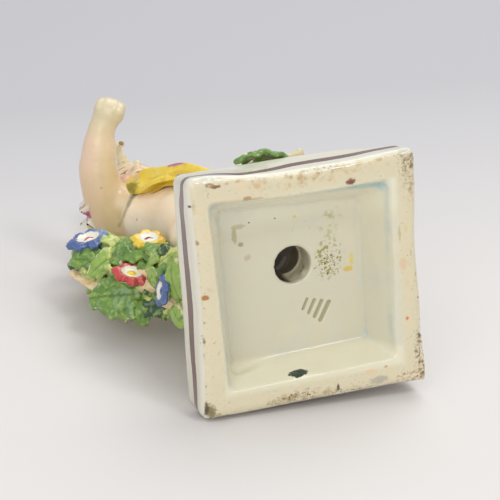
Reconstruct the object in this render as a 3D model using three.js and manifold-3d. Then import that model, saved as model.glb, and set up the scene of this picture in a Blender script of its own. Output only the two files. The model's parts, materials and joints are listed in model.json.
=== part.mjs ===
// A pearlware figure of a putto on a square plinth, press-moulded, fired and enamelled as one piece.
// The putto strides forward with the right arm stretched out, wrapped in a sash, in front of a
// tree stump hung with leaves and flowers. Millimetres, +Z up, the figure faces -Y.
import * as THREE from 'three';
import { mergeVertices } from 'three/addons/utils/BufferGeometryUtils.js';
import Module from 'manifold-3d';

const wasm = await Module();
wasm.setup();

// Plinth, with the hollow in its underside and the vent hole that lets the kiln gases out
const PLINTH = { width: 58, depth: 59, height: 15, corner: 4, easing: 0.8 };
const RECESS = { rim: 5.3, draft: 4.8, depth: 9.3, corner: 3.5, shift: -1 };
const VENT = { x: -1, y: -3.2, radius: 4.75, cavity: 8.5, cavityHeight: 4.6 };
const MOUND = { low: 5, high: 11 };

// Joints of the body, from which every limb is built
const v = (x, y, z) => new THREE.Vector3(x, y, z);
const BODY = {
  head: v(-9.4, 3.6, 110.4),
  neck: v(-9.3, 3.6, 98),
  chest: v(-9.4, 3.2, 87),
  waist: v(-7.6, 1.6, 75),
  pelvis: v(-5.4, 2, 60),
  rightShoulder: v(-20.6, 6.4, 93.6),
  rightElbow: v(-24.4, -9.5, 94.6),
  rightWrist: v(-22.8, -22, 93.4),
  rightFist: v(-20, -26.4, 93),
  leftShoulder: v(1.8, 4.4, 92.5),
  leftElbow: v(10.2, 5.4, 78),
  leftWrist: v(8, -5.4, 68.5),
  leftFist: v(5.2, -9.4, 67),
  leftHip: v(0.4, 0.4, 57),
  leftKnee: v(3.4, -7.6, 38),
  leftAnkle: v(3.4, -16.4, 21.6),
  leftToes: v(1.7, -28.6, 17.2),
  rightHip: v(-10.6, 1.2, 57),
  rightKnee: v(-13.4, -3.4, 42),
  rightAnkle: v(-12.4, 7, 28.6),
  rightToes: v(-14.6, -5, 25.4),
};
const HEAD = { halfWidth: 8.9, halfDepth: 9.4, halfHeight: 9.6 };
const STUMP = { foot: v(-15, 9.5, 12), knee: v(-20.6, 8, 38), crown: v(-33.6, 10.4, 80), girth: 7.4, tip: 4.2 };

// Manifold solid from points and triangles, turned inside out if its faces point inwards
function solid(points, faces) {
  const volume = faces.reduce((sum, [a, b, c]) => (
    sum + points[a].dot(new THREE.Vector3().crossVectors(points[b], points[c]))
  ), 0);
  const turned = volume < 0 ? faces.map(([a, b, c]) => [a, c, b]) : faces;
  return new wasm.Manifold(new wasm.Mesh({
    numProp: 3,
    vertProperties: new Float32Array(points.flatMap((p) => p.toArray())),
    triVerts: new Uint32Array(turned.flat()),
  }));
}

// Closed body through rings of points, all with the same count, with a fan at each end
function lofted(rings) {
  const count = rings[0].length;
  const points = rings.flat();
  const faces = [];
  for (let k = 0; k + 1 < rings.length; k += 1) {
    for (let i = 0; i < count; i += 1) {
      const a = k * count + i;
      const b = k * count + ((i + 1) % count);
      faces.push([a, b, b + count], [a, b + count, a + count]);
    }
  }
  [0, rings.length - 1].forEach((k) => {
    const hub = points.length;
    const middle = v(0, 0, 0);
    rings[k].forEach((p) => middle.addScaledVector(p, 1 / count));
    points.push(middle);
    for (let i = 0; i < count; i += 1) {
      const a = k * count + i;
      const b = k * count + ((i + 1) % count);
      faces.push(k === 0 ? [hub, b, a] : [hub, a, b]);
    }
  });
  return solid(points, faces);
}

// three.js geometry as a solid
function fromGeometry(geometry) {
  geometry.deleteAttribute('normal');
  geometry.deleteAttribute('uv');
  const merged = mergeVertices(geometry, 1e-4);
  const at = merged.attributes.position;
  const points = Array.from({ length: at.count }, (_, i) => v(at.getX(i), at.getY(i), at.getZ(i)));
  const faces = [];
  for (let i = 0; i < merged.index.count; i += 3) {
    const face = [0, 1, 2].map((k) => merged.index.getX(i + k));
    if (new Set(face).size === 3) {
      faces.push(face);
    }
  }
  return solid(points, faces);
}

// Ellipsoid turned so that its own Z lies along "axis"; "relief" gives the swell of each of its
// points from the unit vector there
function ball(centre, radii, axis = v(0, 0, 1), around = 8, up = 6, relief = () => 1) {
  const geometry = new THREE.SphereGeometry(1, around, up);
  geometry.rotateX(Math.PI / 2);
  const at = geometry.attributes.position;
  for (let i = 0; i < at.count; i += 1) {
    const out = v(at.getX(i), at.getY(i), at.getZ(i));
    at.setXYZ(i, ...out.clone().multiplyScalar(relief(out)));
  }
  geometry.scale(...radii);
  geometry.applyQuaternion(new THREE.Quaternion().setFromUnitVectors(v(0, 0, 1), axis.clone().normalize()));
  geometry.translate(...centre);
  return fromGeometry(geometry);
}

// Ellipsoid with ridges round its axis, like fingers or toes side by side
function digits(centre, radii, axis, count, around = 7) {
  const ridge = (out) => 0.94 + 0.1 * Math.cos(count * (Math.acos(out.z) * 2 - Math.PI));
  return ball(centre, radii, axis, around, 2 * count + 2, ridge);
}

// Tube of oval section through stations [point, halfWidth, halfDepth], with domed ends. Its width
// starts along "side" and is carried along the path without twisting.
function limb(stations, { sides = 10, steps = 8, side = v(1, 0, 0), profile = () => 1 } = {}) {
  const path = new THREE.CatmullRomCurve3(stations.map(([point]) => point));
  const sizeAt = (u, k) => {
    const place = u * (stations.length - 1);
    const i = Math.min(Math.floor(place), stations.length - 2);
    return THREE.MathUtils.lerp(stations[i][k], stations[i + 1][k], THREE.MathUtils.smoothstep(place - i, 0, 1));
  };
  const ring = (u, shift, shrink, wide) => {
    const along = path.getTangent(u);
    const deep = along.clone().cross(wide);
    const centre = path.getPoint(u).addScaledVector(along, shift);
    return Array.from({ length: sides }, (_, i) => {
      const angle = (i / sides) * Math.PI * 2;
      const bulge = shrink * profile(angle, u);
      return centre.clone()
        .addScaledVector(wide, Math.cos(angle) * sizeAt(u, 1) * bulge)
        .addScaledVector(deep, Math.sin(angle) * sizeAt(u, 2) * bulge);
    });
  };
  const domeAngle = 0.65;
  const dome = (u, sign, wide) => (
    ring(u, sign * Math.cos(domeAngle) * Math.min(sizeAt(u, 1), sizeAt(u, 2)), Math.sin(domeAngle), wide)
  );
  const wides = [side];
  for (let k = 0; k <= steps; k += 1) {
    const along = path.getTangent(k / steps);
    const last = wides[wides.length - 1];
    wides.push(last.clone().addScaledVector(along, -last.dot(along)).normalize());
  }
  wides.shift();
  const rings = wides.map((wide, k) => ring(k / steps, 0, 1, wide));
  return lofted([dome(0, -1, wides[0]), ...rings, dome(1, 1, wides[steps])]);
}

const between = (a, b, t) => a.clone().lerp(b, t);

// Rounded rectangle at height z
function plate(halfX, halfY, corner, z, shift = 0, perCorner = 3) {
  const points = [];
  [[1, 1], [-1, 1], [-1, -1], [1, -1]].forEach(([sx, sy], quarter) => {
    for (let i = 0; i <= perCorner; i += 1) {
      const angle = (quarter + i / perCorner) * (Math.PI / 2);
      points.push(v(
        shift + sx * (halfX - corner) + Math.cos(angle) * corner,
        sy * (halfY - corner) + Math.sin(angle) * corner,
        z,
      ));
    }
  });
  return points;
}

function plinth() {
  const { width, depth, height, corner, easing } = PLINTH;
  const level = (inset, z) => plate(width / 2 - inset, depth / 2 - inset, corner - inset, z);
  return [
    lofted([level(easing, 0), level(0, easing), level(0, height - easing), level(easing, height)]),
    ball(v(-2, 2, height - 2), [23, 23, 2 + MOUND.low], undefined, 14, 5),
    ball(v(-8, 8, height + 2), [17, 16, MOUND.high - 2], undefined, 12, 7),
  ];
}

// What is hollow: the recess with its sloping walls, the round vent and the small cavity above it
function hollows() {
  const { rim, draft, depth, corner, shift } = RECESS;
  const fillet = 1.2;
  const halfX = PLINTH.width / 2 - rim;
  const halfY = PLINTH.depth / 2 - rim;
  const level = (z, extra = 0) => {
    const inset = (draft * z) / depth + extra;
    return plate(halfX - inset, halfY - inset, corner, z, shift);
  };
  const vent = new THREE.CylinderGeometry(VENT.radius, VENT.radius, depth, 16);
  vent.rotateX(Math.PI / 2);
  vent.translate(VENT.x, VENT.y, depth * 1.2);
  const cavity = v(VENT.x - 1.5, VENT.y + 2.5, PLINTH.height + 1.2);
  return [
    lofted([level(-1), level(0), level(depth - fillet), level(depth - fillet * 0.3, 0.35), level(depth, 1.1)]),
    fromGeometry(vent),
    ball(cavity, [VENT.cavity, VENT.cavity - 1, VENT.cavityHeight], undefined, 10, 6),
  ];
}

function torso() {
  const { pelvis, waist, chest, neck } = BODY;
  return [
    limb([
      [pelvis.clone().add(v(0.2, 0.3, -6)), 7.5, 7],
      [pelvis, 11.6, 9.8],
      [between(pelvis, waist, 0.5).add(v(0, -1.4, 0)), 11.2, 10],
      [waist, 10.6, 9],
      [chest, 11.6, 8.6],
      [between(chest, neck, 0.55), 10.4, 7],
      [neck, 5, 4.8],
      [between(neck, BODY.head, 0.55), 4.6, 4.6],
    ], { sides: 12, steps: 10 }),
    ball(pelvis.clone().add(v(-5, 5.4, -1.5)), [6, 5.6, 6]),
    ball(pelvis.clone().add(v(5.2, 5, -1.5)), [6, 5.6, 6]),
    ball(chest.clone().add(v(-5, -4.4, 1)), [4.6, 3.8, 4]),
    ball(chest.clone().add(v(5, -4.6, 1)), [4.6, 3.8, 4]),
  ];
}

// Closed hand, its fingers bent over the palm, and a thumb. "reach" points from wrist to knuckles,
// "across" from the little finger to the forefinger.
function fist(centre, reach, across, size) {
  const along = reach.clone().normalize();
  const row = across.clone().addScaledVector(along, -across.dot(along)).normalize();
  const palmward = along.clone().cross(row);
  const thumb = centre.clone().addScaledVector(row, size * 0.8).addScaledVector(palmward, size * 0.25);
  return [
    digits(centre.clone().addScaledVector(along, size * 0.12), [size, size, size * 1.05], row, 4, 7),
    ball(thumb, [size * 0.3, size * 0.3, size * 0.7], along.clone().addScaledVector(palmward, 0.5), 6, 4),
  ];
}

function arms() {
  const { rightShoulder, rightElbow, rightWrist, rightFist } = BODY;
  const { leftShoulder, leftElbow, leftWrist, leftFist } = BODY;
  return [
    ball(rightShoulder, [6.6, 6.5, 6.3], undefined, 10, 7),
    limb([
      [rightShoulder, 6.2, 6.3],
      [between(rightShoulder, rightElbow, 0.5).add(v(-0.6, 0, 0)), 6.1, 6.2],
      [rightElbow, 5.4, 5.6],
      [between(rightElbow, rightWrist, 0.45).add(v(-0.3, 0, 0)), 4.7, 5],
      [rightWrist, 3.9, 3.9],
    ], { steps: 8, side: v(0, 0, 1) }),
    ...fist(rightFist, v(0.3, -1, -0.1), v(-1, -0.3, 0.6), 3.7),
    ball(leftShoulder, [6.4, 6.3, 6.1], undefined, 10, 7),
    limb([
      [leftShoulder, 6, 6],
      [between(leftShoulder, leftElbow, 0.5), 5.6, 5.6],
      [leftElbow, 5, 5],
      [between(leftElbow, leftWrist, 0.45), 4.5, 4.6],
      [leftWrist, 3.6, 3.6],
    ], { steps: 8, side: v(0, 1, 0) }),
    ...fist(leftFist, v(-0.6, -0.8, -0.1), v(0, 0.2, 1), 4),
  ];
}

function foot(ankle, toes) {
  const heel = between(toes, ankle, 1.12).setZ(between(toes, ankle, 0.35).z);
  const row = toes.clone().sub(ankle).setZ(0).normalize().cross(v(0, 0, 1));
  return [
    limb([
      [heel, 2.9, 2.6],
      [between(heel, toes, 0.45).add(v(0, 0, 0.6)), 3.3, 2.8],
      [between(heel, toes, 0.84), 3.7, 2.1],
    ], { sides: 8, steps: 3 }),
    digits(toes, [1.5, 2.1, 3.9], row, 5, 6),
  ];
}

function legs() {
  const { leftHip, leftKnee, leftAnkle, leftToes, rightHip, rightKnee, rightAnkle, rightToes } = BODY;
  const leg = (hip, knee, ankle) => limb([
    [hip, 7.4, 7.6],
    [between(hip, knee, 0.45), 7.2, 7.4],
    [knee, 5.2, 5.4],
    [between(knee, ankle, 0.4), 5, 5.4],
    [between(knee, ankle, 0.8), 3.8, 4],
    [ankle, 3.4, 3.6],
  ], { steps: 8 });
  return [
    leg(leftHip, leftKnee, leftAnkle),
    leg(rightHip, rightKnee, rightAnkle),
    ...foot(leftAnkle, leftToes),
    ...foot(rightAnkle, rightToes),
  ];
}

// Child's head with full cheeks, a small nose and mouth and short curls
function head() {
  const { halfWidth, halfDepth, halfHeight } = HEAD;
  const place = (x, y, z) => BODY.head.clone().add(v(x, y, z));
  const features = [
    ball(place(0, 1, 1.6), [halfWidth, halfDepth, halfHeight], undefined, 12, 8),
    ball(place(0, -1.4, -4), [7.3, 7.2, 6.4], undefined, 12, 7),
    ball(place(0, -6.6, -8), [2.4, 2, 1.9], undefined, 8, 6),
    ball(place(0, -8.9, -1.6), [1.3, 1.7, 1.7], v(0, -0.4, 1), 8, 6),
    ball(place(0, -7.9, -5), [2.1, 1, 0.9], undefined, 8, 5),
  ];
  [-1, 1].forEach((sideways) => {
    features.push(
      ball(place(sideways * 3.9, -5, -3.6), [3.4, 3.2, 3.2], undefined, 8, 6),
      ball(place(sideways * 8.5, 0.8, -1.4), [1.3, 2, 2.5], undefined, 6, 5),
    );
  });
  const locks = (out) => {
    const turn = Math.atan2(out.y, out.x);
    const rise = Math.asin(out.z);
    return 1 + 0.07 * Math.cos(7 * turn + 2) * Math.cos(6 * rise) * Math.cos(rise);
  };
  features.push(ball(place(0, 2.4, 2.8), [halfWidth + 0.8, halfDepth, halfHeight + 0.2], undefined, 21, 10, locks));
  features.push(
    ball(place(-0.6, -7.4, 6.4), [2.6, 2.4, 3.6], v(-0.1, -1, 0.3), 6, 5),
    ball(place(-1.4, -10.4, 7.6), [1.7, 1.6, 2.4], v(-0.2, -1, 0.6), 6, 5),
  );
  return features;
}

// Pleated band of cloth along a path; each station is [point, outward direction, half width]
function pleatedBand(stations, { thickness = 3, pleats = 2, steps = 10 } = {}) {
  const path = new THREE.CatmullRomCurve3(stations.map(([point]) => point));
  const outward = new THREE.CatmullRomCurve3(stations.map(([, out]) => out));
  const breadth = new THREE.CatmullRomCurve3(stations.map(([, , half]) => v(half, 0, 0)));
  const across = 4 * pleats;
  const rings = Array.from({ length: steps + 1 }, (_, k) => {
    const u = k / steps;
    const along = path.getTangent(u);
    const out = outward.getPoint(u);
    out.addScaledVector(along, -out.dot(along)).normalize();
    const side = along.clone().cross(out);
    const centre = path.getPoint(u);
    const half = breadth.getPoint(u).x;
    const at = (t, lift) => centre.clone().addScaledVector(side, t * half).addScaledVector(out, lift);
    const pleat = (t) => thickness * (0.4 + 0.16 * Math.cos(Math.PI * pleats * (t + 0.15 * Math.sin(5 * u))));
    const top = Array.from({ length: across + 1 }, (_, i) => {
      const t = -1 + (2 * i) / across;
      return at(t, pleat(t) * (1 - 0.5 * t ** 4));
    });
    const under = [0.8, 0, -0.8].map((t) => at(t, -thickness * 0.5));
    return [...top, ...under];
  });
  return lofted(rings);
}

// Sash: over the right shoulder, across the front to the left hip, round the back and down to the ground
function sash() {
  const { rightShoulder, chest, waist, pelvis } = BODY;
  return [
    pleatedBand([
      [rightShoulder.clone().add(v(-7, -4.4, -3)), v(-1, 0, -0.2), 4],
      [rightShoulder.clone().add(v(-5.6, -4.2, 4)), v(-0.8, 0, 0.6), 5],
      [rightShoulder.clone().add(v(0, -4.6, 7)), v(0, -0.1, 1), 5],
      [chest.clone().add(v(-5.4, -6.6, 8)), v(-0.1, -0.7, 0.7), 5],
      [chest.clone().add(v(-2.4, -10.6, -0.5)), v(-0.2, -1, 0.1), 5],
      [waist.clone().add(v(2.4, -12.2, 0)), v(0, -1, 0), 5.4],
      [pelvis.clone().add(v(8, -10, 7)), v(0.5, -1, 0), 4.8],
      [pelvis.clone().add(v(13.4, -2, 4)), v(1, -0.3, 0), 4.4],
    ], { thickness: 5.2, steps: 12 }),
    pleatedBand([
      [rightShoulder.clone().add(v(-4, -2, 6)), v(-0.6, 0.2, 1), 4.4],
      [chest.clone().add(v(-7.6, 8.8, 3)), v(-0.4, 1, 0.3), 5],
      [waist.clone().add(v(1, 10, 1)), v(0, 1, 0), 5.4],
      [pelvis.clone().add(v(10, 7, 5)), v(0.7, 1, 0), 5],
      [pelvis.clone().add(v(13.4, -1, 3)), v(1, 0, 0), 4.4],
    ]),
    pleatedBand([
      [pelvis.clone().add(v(13, -1, 5)), v(1, 0, 0), 4],
      [pelvis.clone().add(v(14.4, 0.4, -8)), v(1, -0.2, 0), 5.4],
      [pelvis.clone().add(v(16, 2.6, -26)), v(1, -0.2, 0), 6.6],
      [pelvis.clone().add(v(17.6, 5, -43.4)), v(1, -0.2, 0.1), 8],
    ], { thickness: 4, steps: 8 }),
  ];
}

// Lobed leaf, thick along its midrib, that arches down towards its tip
function leaf([root, tip, facing, width]) {
  const lengthways = tip.clone().sub(root);
  const length = lengthways.length();
  const along = lengthways.clone().normalize();
  const up = facing.clone().addScaledVector(along, -facing.dot(along)).normalize();
  const side = up.clone().cross(along);
  const steps = 5;
  const at = (u, t, lift) => root.clone()
    .addScaledVector(along, u * length)
    .addScaledVector(side, t)
    .addScaledVector(up, lift + length * 0.2 * Math.sin(Math.PI * u) - Math.abs(t) * 0.22);
  const rings = Array.from({ length: steps + 1 }, (_, k) => {
    const u = 0.04 + (0.92 * k) / steps;
    const lobes = 1 + 0.16 * Math.cos(Math.PI * 2 * 3 * u);
    const half = (width / 2) * Math.sin(Math.PI * u ** 0.8) ** 0.7 * lobes;
    return [at(u, half, 0), at(u, half * 0.4, 0.8), at(u, -half * 0.4, 0.8), at(u, -half, 0), at(u, 0, -1.2)];
  });
  return lofted(rings);
}

// Round flower with scalloped petals, a dished face and a raised heart
function flower([centre, facing, radius]) {
  const axis = facing.clone().normalize();
  const turn = new THREE.Quaternion().setFromUnitVectors(v(0, 0, 1), axis);
  const around = 10;
  const level = (size, lift, scallop) => Array.from({ length: around }, (_, i) => {
    const angle = (i / around) * Math.PI * 2;
    const reach = radius * size * (1 + scallop * Math.cos(5 * angle));
    return v(Math.cos(angle) * reach, Math.sin(angle) * reach, lift).applyQuaternion(turn).add(centre);
  });
  return lofted([
    level(0.35, -radius * 0.7, 0),
    level(1, 0, 0.1),
    level(0.85, 0.8, 0.1),
    level(0.4, 0, 0),
    level(0.2, 0.9, 0),
  ]);
}

// Stump with its bark ridges, then the leaves and flowers that hide it
function bocage() {
  const { foot: root, knee, crown, girth, tip } = STUMP;
  const foliage = [0.12, 0.34, 0.56, 0.76, 0.95].map((t, k) => (
    ball(between(knee, crown, t).add(v(0.6, k % 2 ? -1.6 : -2.4, 0)), [6.4, 5.6, 8], undefined, 6, 5)
  ));
  const bark = (angle, u) => 1 + 0.12 * Math.cos(5 * angle + 2 * u);
  const trunk = limb([
    [root, girth + 1.5, girth + 1],
    [knee, girth - 1.2, girth - 1.6],
    [between(knee, crown, 0.55).add(v(0, 0.8, 0)), girth - 2.2, girth - 2.4],
    [crown, tip, tip],
  ], { sides: 10, steps: 7, profile: bark });
  const back = [0, 1, 2, 3].map((k) => {
    const height = 24 + k * 16;
    const start = height < knee.z ? between(root, knee, (height - root.z) / (knee.z - root.z))
      : between(knee, crown, Math.min(1, (height - knee.z) / (crown.z - knee.z)));
    const swing = k % 2 === 0 ? 1 : -1;
    return [start.clone().add(v(2 + swing * 2, 2.4, 4)), start.clone().add(v(6 + swing * 7, 4.4, -6)), v(0.2, 1, 0.2), 11];
  });
  const leaves = [
    [v(-27, 7, 56), v(-41, 12.6, 50), v(-0.3, -0.7, -0.7), 16],
    [v(-26, 8, 50), v(-32.6, 15.6, 39), v(-0.6, -0.5, -0.6), 16],
    [v(-30, 6, 76), v(-38.6, 9, 83), v(-0.5, -0.7, -0.4), 13],
    [v(-28, 5, 70), v(-37.4, 9.6, 74), v(-0.3, -0.8, -0.5), 12],
    [v(-29, 7, 66), v(-22, 3.4, 60), v(-0.4, -0.9, -0.3), 10],
    [v(-26, 5, 60), v(-32, 5, 53), v(-0.4, -0.8, -0.3), 11],
    [v(-22, 7, 48), v(-22.6, -3, 40), v(-0.8, -0.3, -0.3), 10],
    [v(-22, 5, 32), v(-27.6, -7, 22), v(-0.8, -0.3, 0.4), 9],
    [v(-22, 7, 28), v(-29.4, 10.4, 20.4), v(-0.6, 0.2, 0.6), 8],
    [v(-3, -21, 15), v(-12, -31.4, 15.8), v(-0.1, -0.3, 1), 10],
    [v(-1, -19, 16), v(-5, -32.4, 16.6), v(-0.1, -0.3, 1), 10],
    ...back,
  ];
  const flowers = [
    [v(-32.2, 3.2, 72), v(-0.2, -1, 0.06), 7.2],
    [v(-22.8, -0.2, 55), v(0, -1, -0.1), 5.5],
    [v(-30, 6.8, 51), v(0.15, -1, -0.25), 5.6],
    [v(-27.4, 6.2, 33), v(-1, -0.25, 0.1), 3.8],
    [v(-28.4, 14.4, 62), v(-0.3, 1, 0.2), 4.6],
    [v(-19.6, 14.6, 44), v(0.2, 1, 0.2), 4.8],
  ];
  return [trunk, ...foliage, ...leaves.map(leaf), ...flowers.map(flower)];
}

function figure() {
  const clay = wasm.Manifold.union([
    ...plinth(), ...torso(), ...arms(), ...legs(), ...head(), ...sash(), ...bocage(),
  ]);
  const cut = clay.subtract(wasm.Manifold.union(hollows()));
  const mesh = cut.getMesh();
  const geometry = new THREE.BufferGeometry();
  geometry.setAttribute('position', new THREE.BufferAttribute(new Float32Array(mesh.vertProperties), 3));
  geometry.setIndex(new THREE.BufferAttribute(new Uint32Array(mesh.triVerts), 1));
  geometry.computeBoundingBox();
  const { min, max } = geometry.boundingBox;
  geometry.translate(-(min.x + max.x) / 2, -(min.y + max.y) / 2, -min.z);
  geometry.computeVertexNormals();
  return geometry;
}

const glaze = new THREE.MeshStandardMaterial({ color: 0xe6dfc8, roughness: 0.22, metalness: 0 });
const puttoFigure = new THREE.Mesh(figure(), glaze);
puttoFigure.name = 'putto_figure';

const group = new THREE.Group();
group.name = 'pearlware_putto_figure';
group.add(puttoFigure);

export default group;
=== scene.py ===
import json
import math

import bpy
import numpy as np
from mathutils import Matrix, Vector, noise

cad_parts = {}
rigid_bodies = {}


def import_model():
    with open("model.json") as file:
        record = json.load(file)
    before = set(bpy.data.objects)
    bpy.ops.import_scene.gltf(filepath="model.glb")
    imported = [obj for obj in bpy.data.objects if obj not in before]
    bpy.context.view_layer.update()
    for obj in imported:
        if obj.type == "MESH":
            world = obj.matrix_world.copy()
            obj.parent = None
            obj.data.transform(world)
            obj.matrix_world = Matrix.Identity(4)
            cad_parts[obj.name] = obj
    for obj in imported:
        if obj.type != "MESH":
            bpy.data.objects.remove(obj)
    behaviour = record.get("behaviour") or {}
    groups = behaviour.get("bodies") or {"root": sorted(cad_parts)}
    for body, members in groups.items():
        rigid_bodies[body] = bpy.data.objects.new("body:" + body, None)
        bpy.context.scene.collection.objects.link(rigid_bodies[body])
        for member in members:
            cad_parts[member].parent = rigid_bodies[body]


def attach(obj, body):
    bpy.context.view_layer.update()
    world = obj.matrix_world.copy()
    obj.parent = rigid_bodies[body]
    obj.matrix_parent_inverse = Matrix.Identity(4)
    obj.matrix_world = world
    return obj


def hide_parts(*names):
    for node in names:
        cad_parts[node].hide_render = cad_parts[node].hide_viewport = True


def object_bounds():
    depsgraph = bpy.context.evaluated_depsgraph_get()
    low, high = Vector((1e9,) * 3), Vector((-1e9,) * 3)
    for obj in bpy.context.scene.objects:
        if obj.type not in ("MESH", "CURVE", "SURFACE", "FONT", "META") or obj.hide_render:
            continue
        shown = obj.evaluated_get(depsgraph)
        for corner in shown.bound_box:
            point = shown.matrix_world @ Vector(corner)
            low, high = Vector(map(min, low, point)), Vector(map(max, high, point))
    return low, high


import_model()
cad_box = [list(corner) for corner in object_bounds()]

# Camera, table and daylight. The figure lies on its back on a pale table in the photograph, so the
# table is a slope behind the upright figure: it touches the back of the plinth and of the head.
# It is seen from its upper side only, and the big soft light hangs over it.
MM = 0.001
PLINTH_WIDTH, PLINTH_DEPTH, PLINTH_HEIGHT = 58, 59, 15
UP = Vector((0, 0, 1))
middle = Vector((cad_box[1][0] - PLINTH_WIDTH / 2 * MM, cad_box[1][1] - PLINTH_DEPTH / 2 * MM, 0))


def here(x, y, z):
    """A point given in millimetres from the middle of the plinth's underside."""
    return middle + Vector((x, y, z)) * MM


def shade(red, green, blue):
    """A paint colour, given in the usual 0 to 255 steps."""
    steps = [value / 255 for value in (red, green, blue)]
    light = [s / 12.92 if s <= 0.04045 else ((s + 0.055) / 1.055) ** 2.4 for s in steps]
    return (*light, 1)


camera_data = bpy.data.cameras.new("camera")
camera_data.lens, camera_data.sensor_width = 173.95, 36
camera_data.clip_start, camera_data.clip_end = 0.05, 20
camera = bpy.data.objects.new("camera", camera_data)
bpy.context.scene.collection.objects.link(camera)
sight = Vector((0.315, 0.30038, 0.9)).normalized()
across = sight.cross(Vector((0.1602, -0.95189, 0.26161))).normalized()
turn = Matrix((across, across.cross(sight), -sight)).transposed()
camera.matrix_world = Matrix.Translation(here(-196.41, -184.88, -517.98)) @ turn.to_4x4()
bpy.context.scene.camera = camera
bpy.context.scene.view_settings.view_transform = "Standard"

table_up = Vector((0.062, -0.9846, -0.12)).normalized()
bpy.ops.object.select_all(action="DESELECT")
bpy.ops.mesh.primitive_plane_add(
    size=6, location=here(-29, 29.5, 7), rotation=UP.rotation_difference(table_up).to_euler()
)
table = bpy.context.object
table.name = "table"
table_finish = bpy.data.materials.new("pale_table")
table_finish.use_nodes = True
tree = table_finish.node_tree
board = tree.nodes["Principled BSDF"]
seat = tree.nodes.new("ShaderNodeTexCoord")
depth = tree.nodes.new("ShaderNodeSeparateXYZ")
# The table is painted darker towards its far end and lighter near the camera: painted shade and light.
painted_falloff = tree.nodes.new("ShaderNodeValToRGB")
far_end, near_end = painted_falloff.color_ramp.elements
far_end.position, far_end.color = 0.25, shade(193, 192, 195)
near_end.position, near_end.color = 0.44, shade(224, 220, 217)
reach = tree.nodes.new("ShaderNodeMapRange")
reach.inputs["From Min"].default_value, reach.inputs["From Max"].default_value = 0.45, -0.45
tree.links.new(seat.outputs["Object"], depth.inputs["Vector"])
tree.links.new(depth.outputs["Y"], reach.inputs["Value"])
tree.links.new(reach.outputs["Result"], painted_falloff.inputs["Fac"])
tree.links.new(painted_falloff.outputs["Color"], board.inputs["Base Color"])
board.inputs["Roughness"].default_value = 0.8
see_through = tree.nodes.new("ShaderNodeBsdfTransparent")
side = tree.nodes.new("ShaderNodeNewGeometry")
either = tree.nodes.new("ShaderNodeMixShader")
tree.links.new(side.outputs["Backfacing"], either.inputs["Fac"])
tree.links.new(board.outputs["BSDF"], either.inputs[1])
tree.links.new(see_through.outputs["BSDF"], either.inputs[2])
tree.links.new(either.outputs["Shader"], tree.nodes["Material Output"].inputs["Surface"])
table.data.materials.append(table_finish)


def softbox(name, offset, size, power):
    """A square soft light at an offset in metres from the figure, turned to face it."""
    data = bpy.data.lights.new(name, "AREA")
    data.size, data.energy = size, power
    lamp = bpy.data.objects.new(name, data)
    bpy.context.scene.collection.objects.link(lamp)
    lamp.location = here(0, 0, 40) + offset
    lamp.rotation_euler = offset.to_track_quat("Z", "Y").to_euler()


softbox("window", table_up * 0.62 + across * 0.38 - sight * 0.42, 0.2, 1.5)
softbox("overhead", table_up * 0.85 + across * 0.15 + sight * 0.4, 0.6, 2.7)
softbox("front_fill", -sight * 0.85 + table_up * 0.1 - across * 0.2, 0.7, 2.85)
world = bpy.context.scene.world or bpy.data.worlds.new("daylight")
bpy.context.scene.world = world
world.use_nodes = True
world.node_tree.nodes["Background"].inputs["Color"].default_value = (0.97, 0.98, 1, 1)
world.node_tree.nodes["Background"].inputs["Strength"].default_value = 0.6

# Plinth and ground: a square box of cream pearlware, pressed in a mould and open below, with the
# recess, the vent that lets the kiln gases out and a low mound on top, under one clear glaze. The
# core of the mould leaves uneven corners, and the glaze softens every edge.
RECESS_DEPTH = 9.3
RECESS_MOUTH = ((-24.7, -23.8), (22.3, -23.4), (21.6, 22.3), (-22.8, 23))
RECESS_FLOOR = ((-19.6, -19.8), (16.9, -17.6), (17.3, 18.6), (-18.5, 19.6))
VENT = (-1, -3.2)
VENT_RADIUS = 4.75
CAVITY, CAVITY_SIZE = (VENT[0] - 4, VENT[1] - 1.4, 13.8), (7.4, 7, 3.9)


def deselect():
    bpy.ops.object.select_all(action="DESELECT")


def apply_modifier(piece, kind, **settings):
    """Adds a modifier with these settings and applies it at once."""
    deselect()
    piece.select_set(True)
    bpy.context.view_layer.objects.active = piece
    modifier = piece.modifiers.new(kind, kind)
    for key, value in settings.items():
        setattr(modifier, key, value)
    bpy.ops.object.modifier_apply(modifier=kind)


def apply_place(piece):
    """Puts a piece's place, turn and size into its mesh."""
    deselect()
    piece.select_set(True)
    bpy.context.view_layer.objects.active = piece
    bpy.ops.object.transform_apply(location=True, rotation=True, scale=True)


def skin_over(piece, grain, rounds):
    """Works what is pressed together into one skin, with "grain" millimetres between its points."""
    apply_modifier(piece, "REMESH", mode="VOXEL", voxel_size=grain * MM, use_smooth_shade=True)
    if rounds:
        apply_modifier(piece, "SMOOTH", factor=0.5, iterations=rounds)


def block(half_x, half_y, bottom, top):
    """A box centred on the plinth's axis, in millimetres."""
    deselect()
    bpy.ops.mesh.primitive_cube_add(
        size=1,
        location=here(0, 0, (bottom + top) / 2),
        scale=Vector((half_x * 2, half_y * 2, top - bottom)) * MM,
    )
    apply_place(bpy.context.object)
    return bpy.context.object


def ease_uprights(piece, radius, segments):
    """Rounds the four upright corners of a box."""
    bpy.ops.object.mode_set(mode="EDIT")
    bpy.ops.mesh.select_all(action="DESELECT")
    bpy.ops.object.mode_set(mode="OBJECT")
    points = piece.data.vertices
    for edge in piece.data.edges:
        rise = points[edge.vertices[0]].co - points[edge.vertices[1]].co
        edge.select = abs(rise.z) > 0.5 * rise.length
    bpy.ops.object.mode_set(mode="EDIT")
    bpy.ops.mesh.select_mode(type="EDGE")
    bpy.ops.mesh.bevel(offset=radius * MM, segments=segments, affect="EDGES")
    bpy.ops.object.mode_set(mode="OBJECT")


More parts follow.
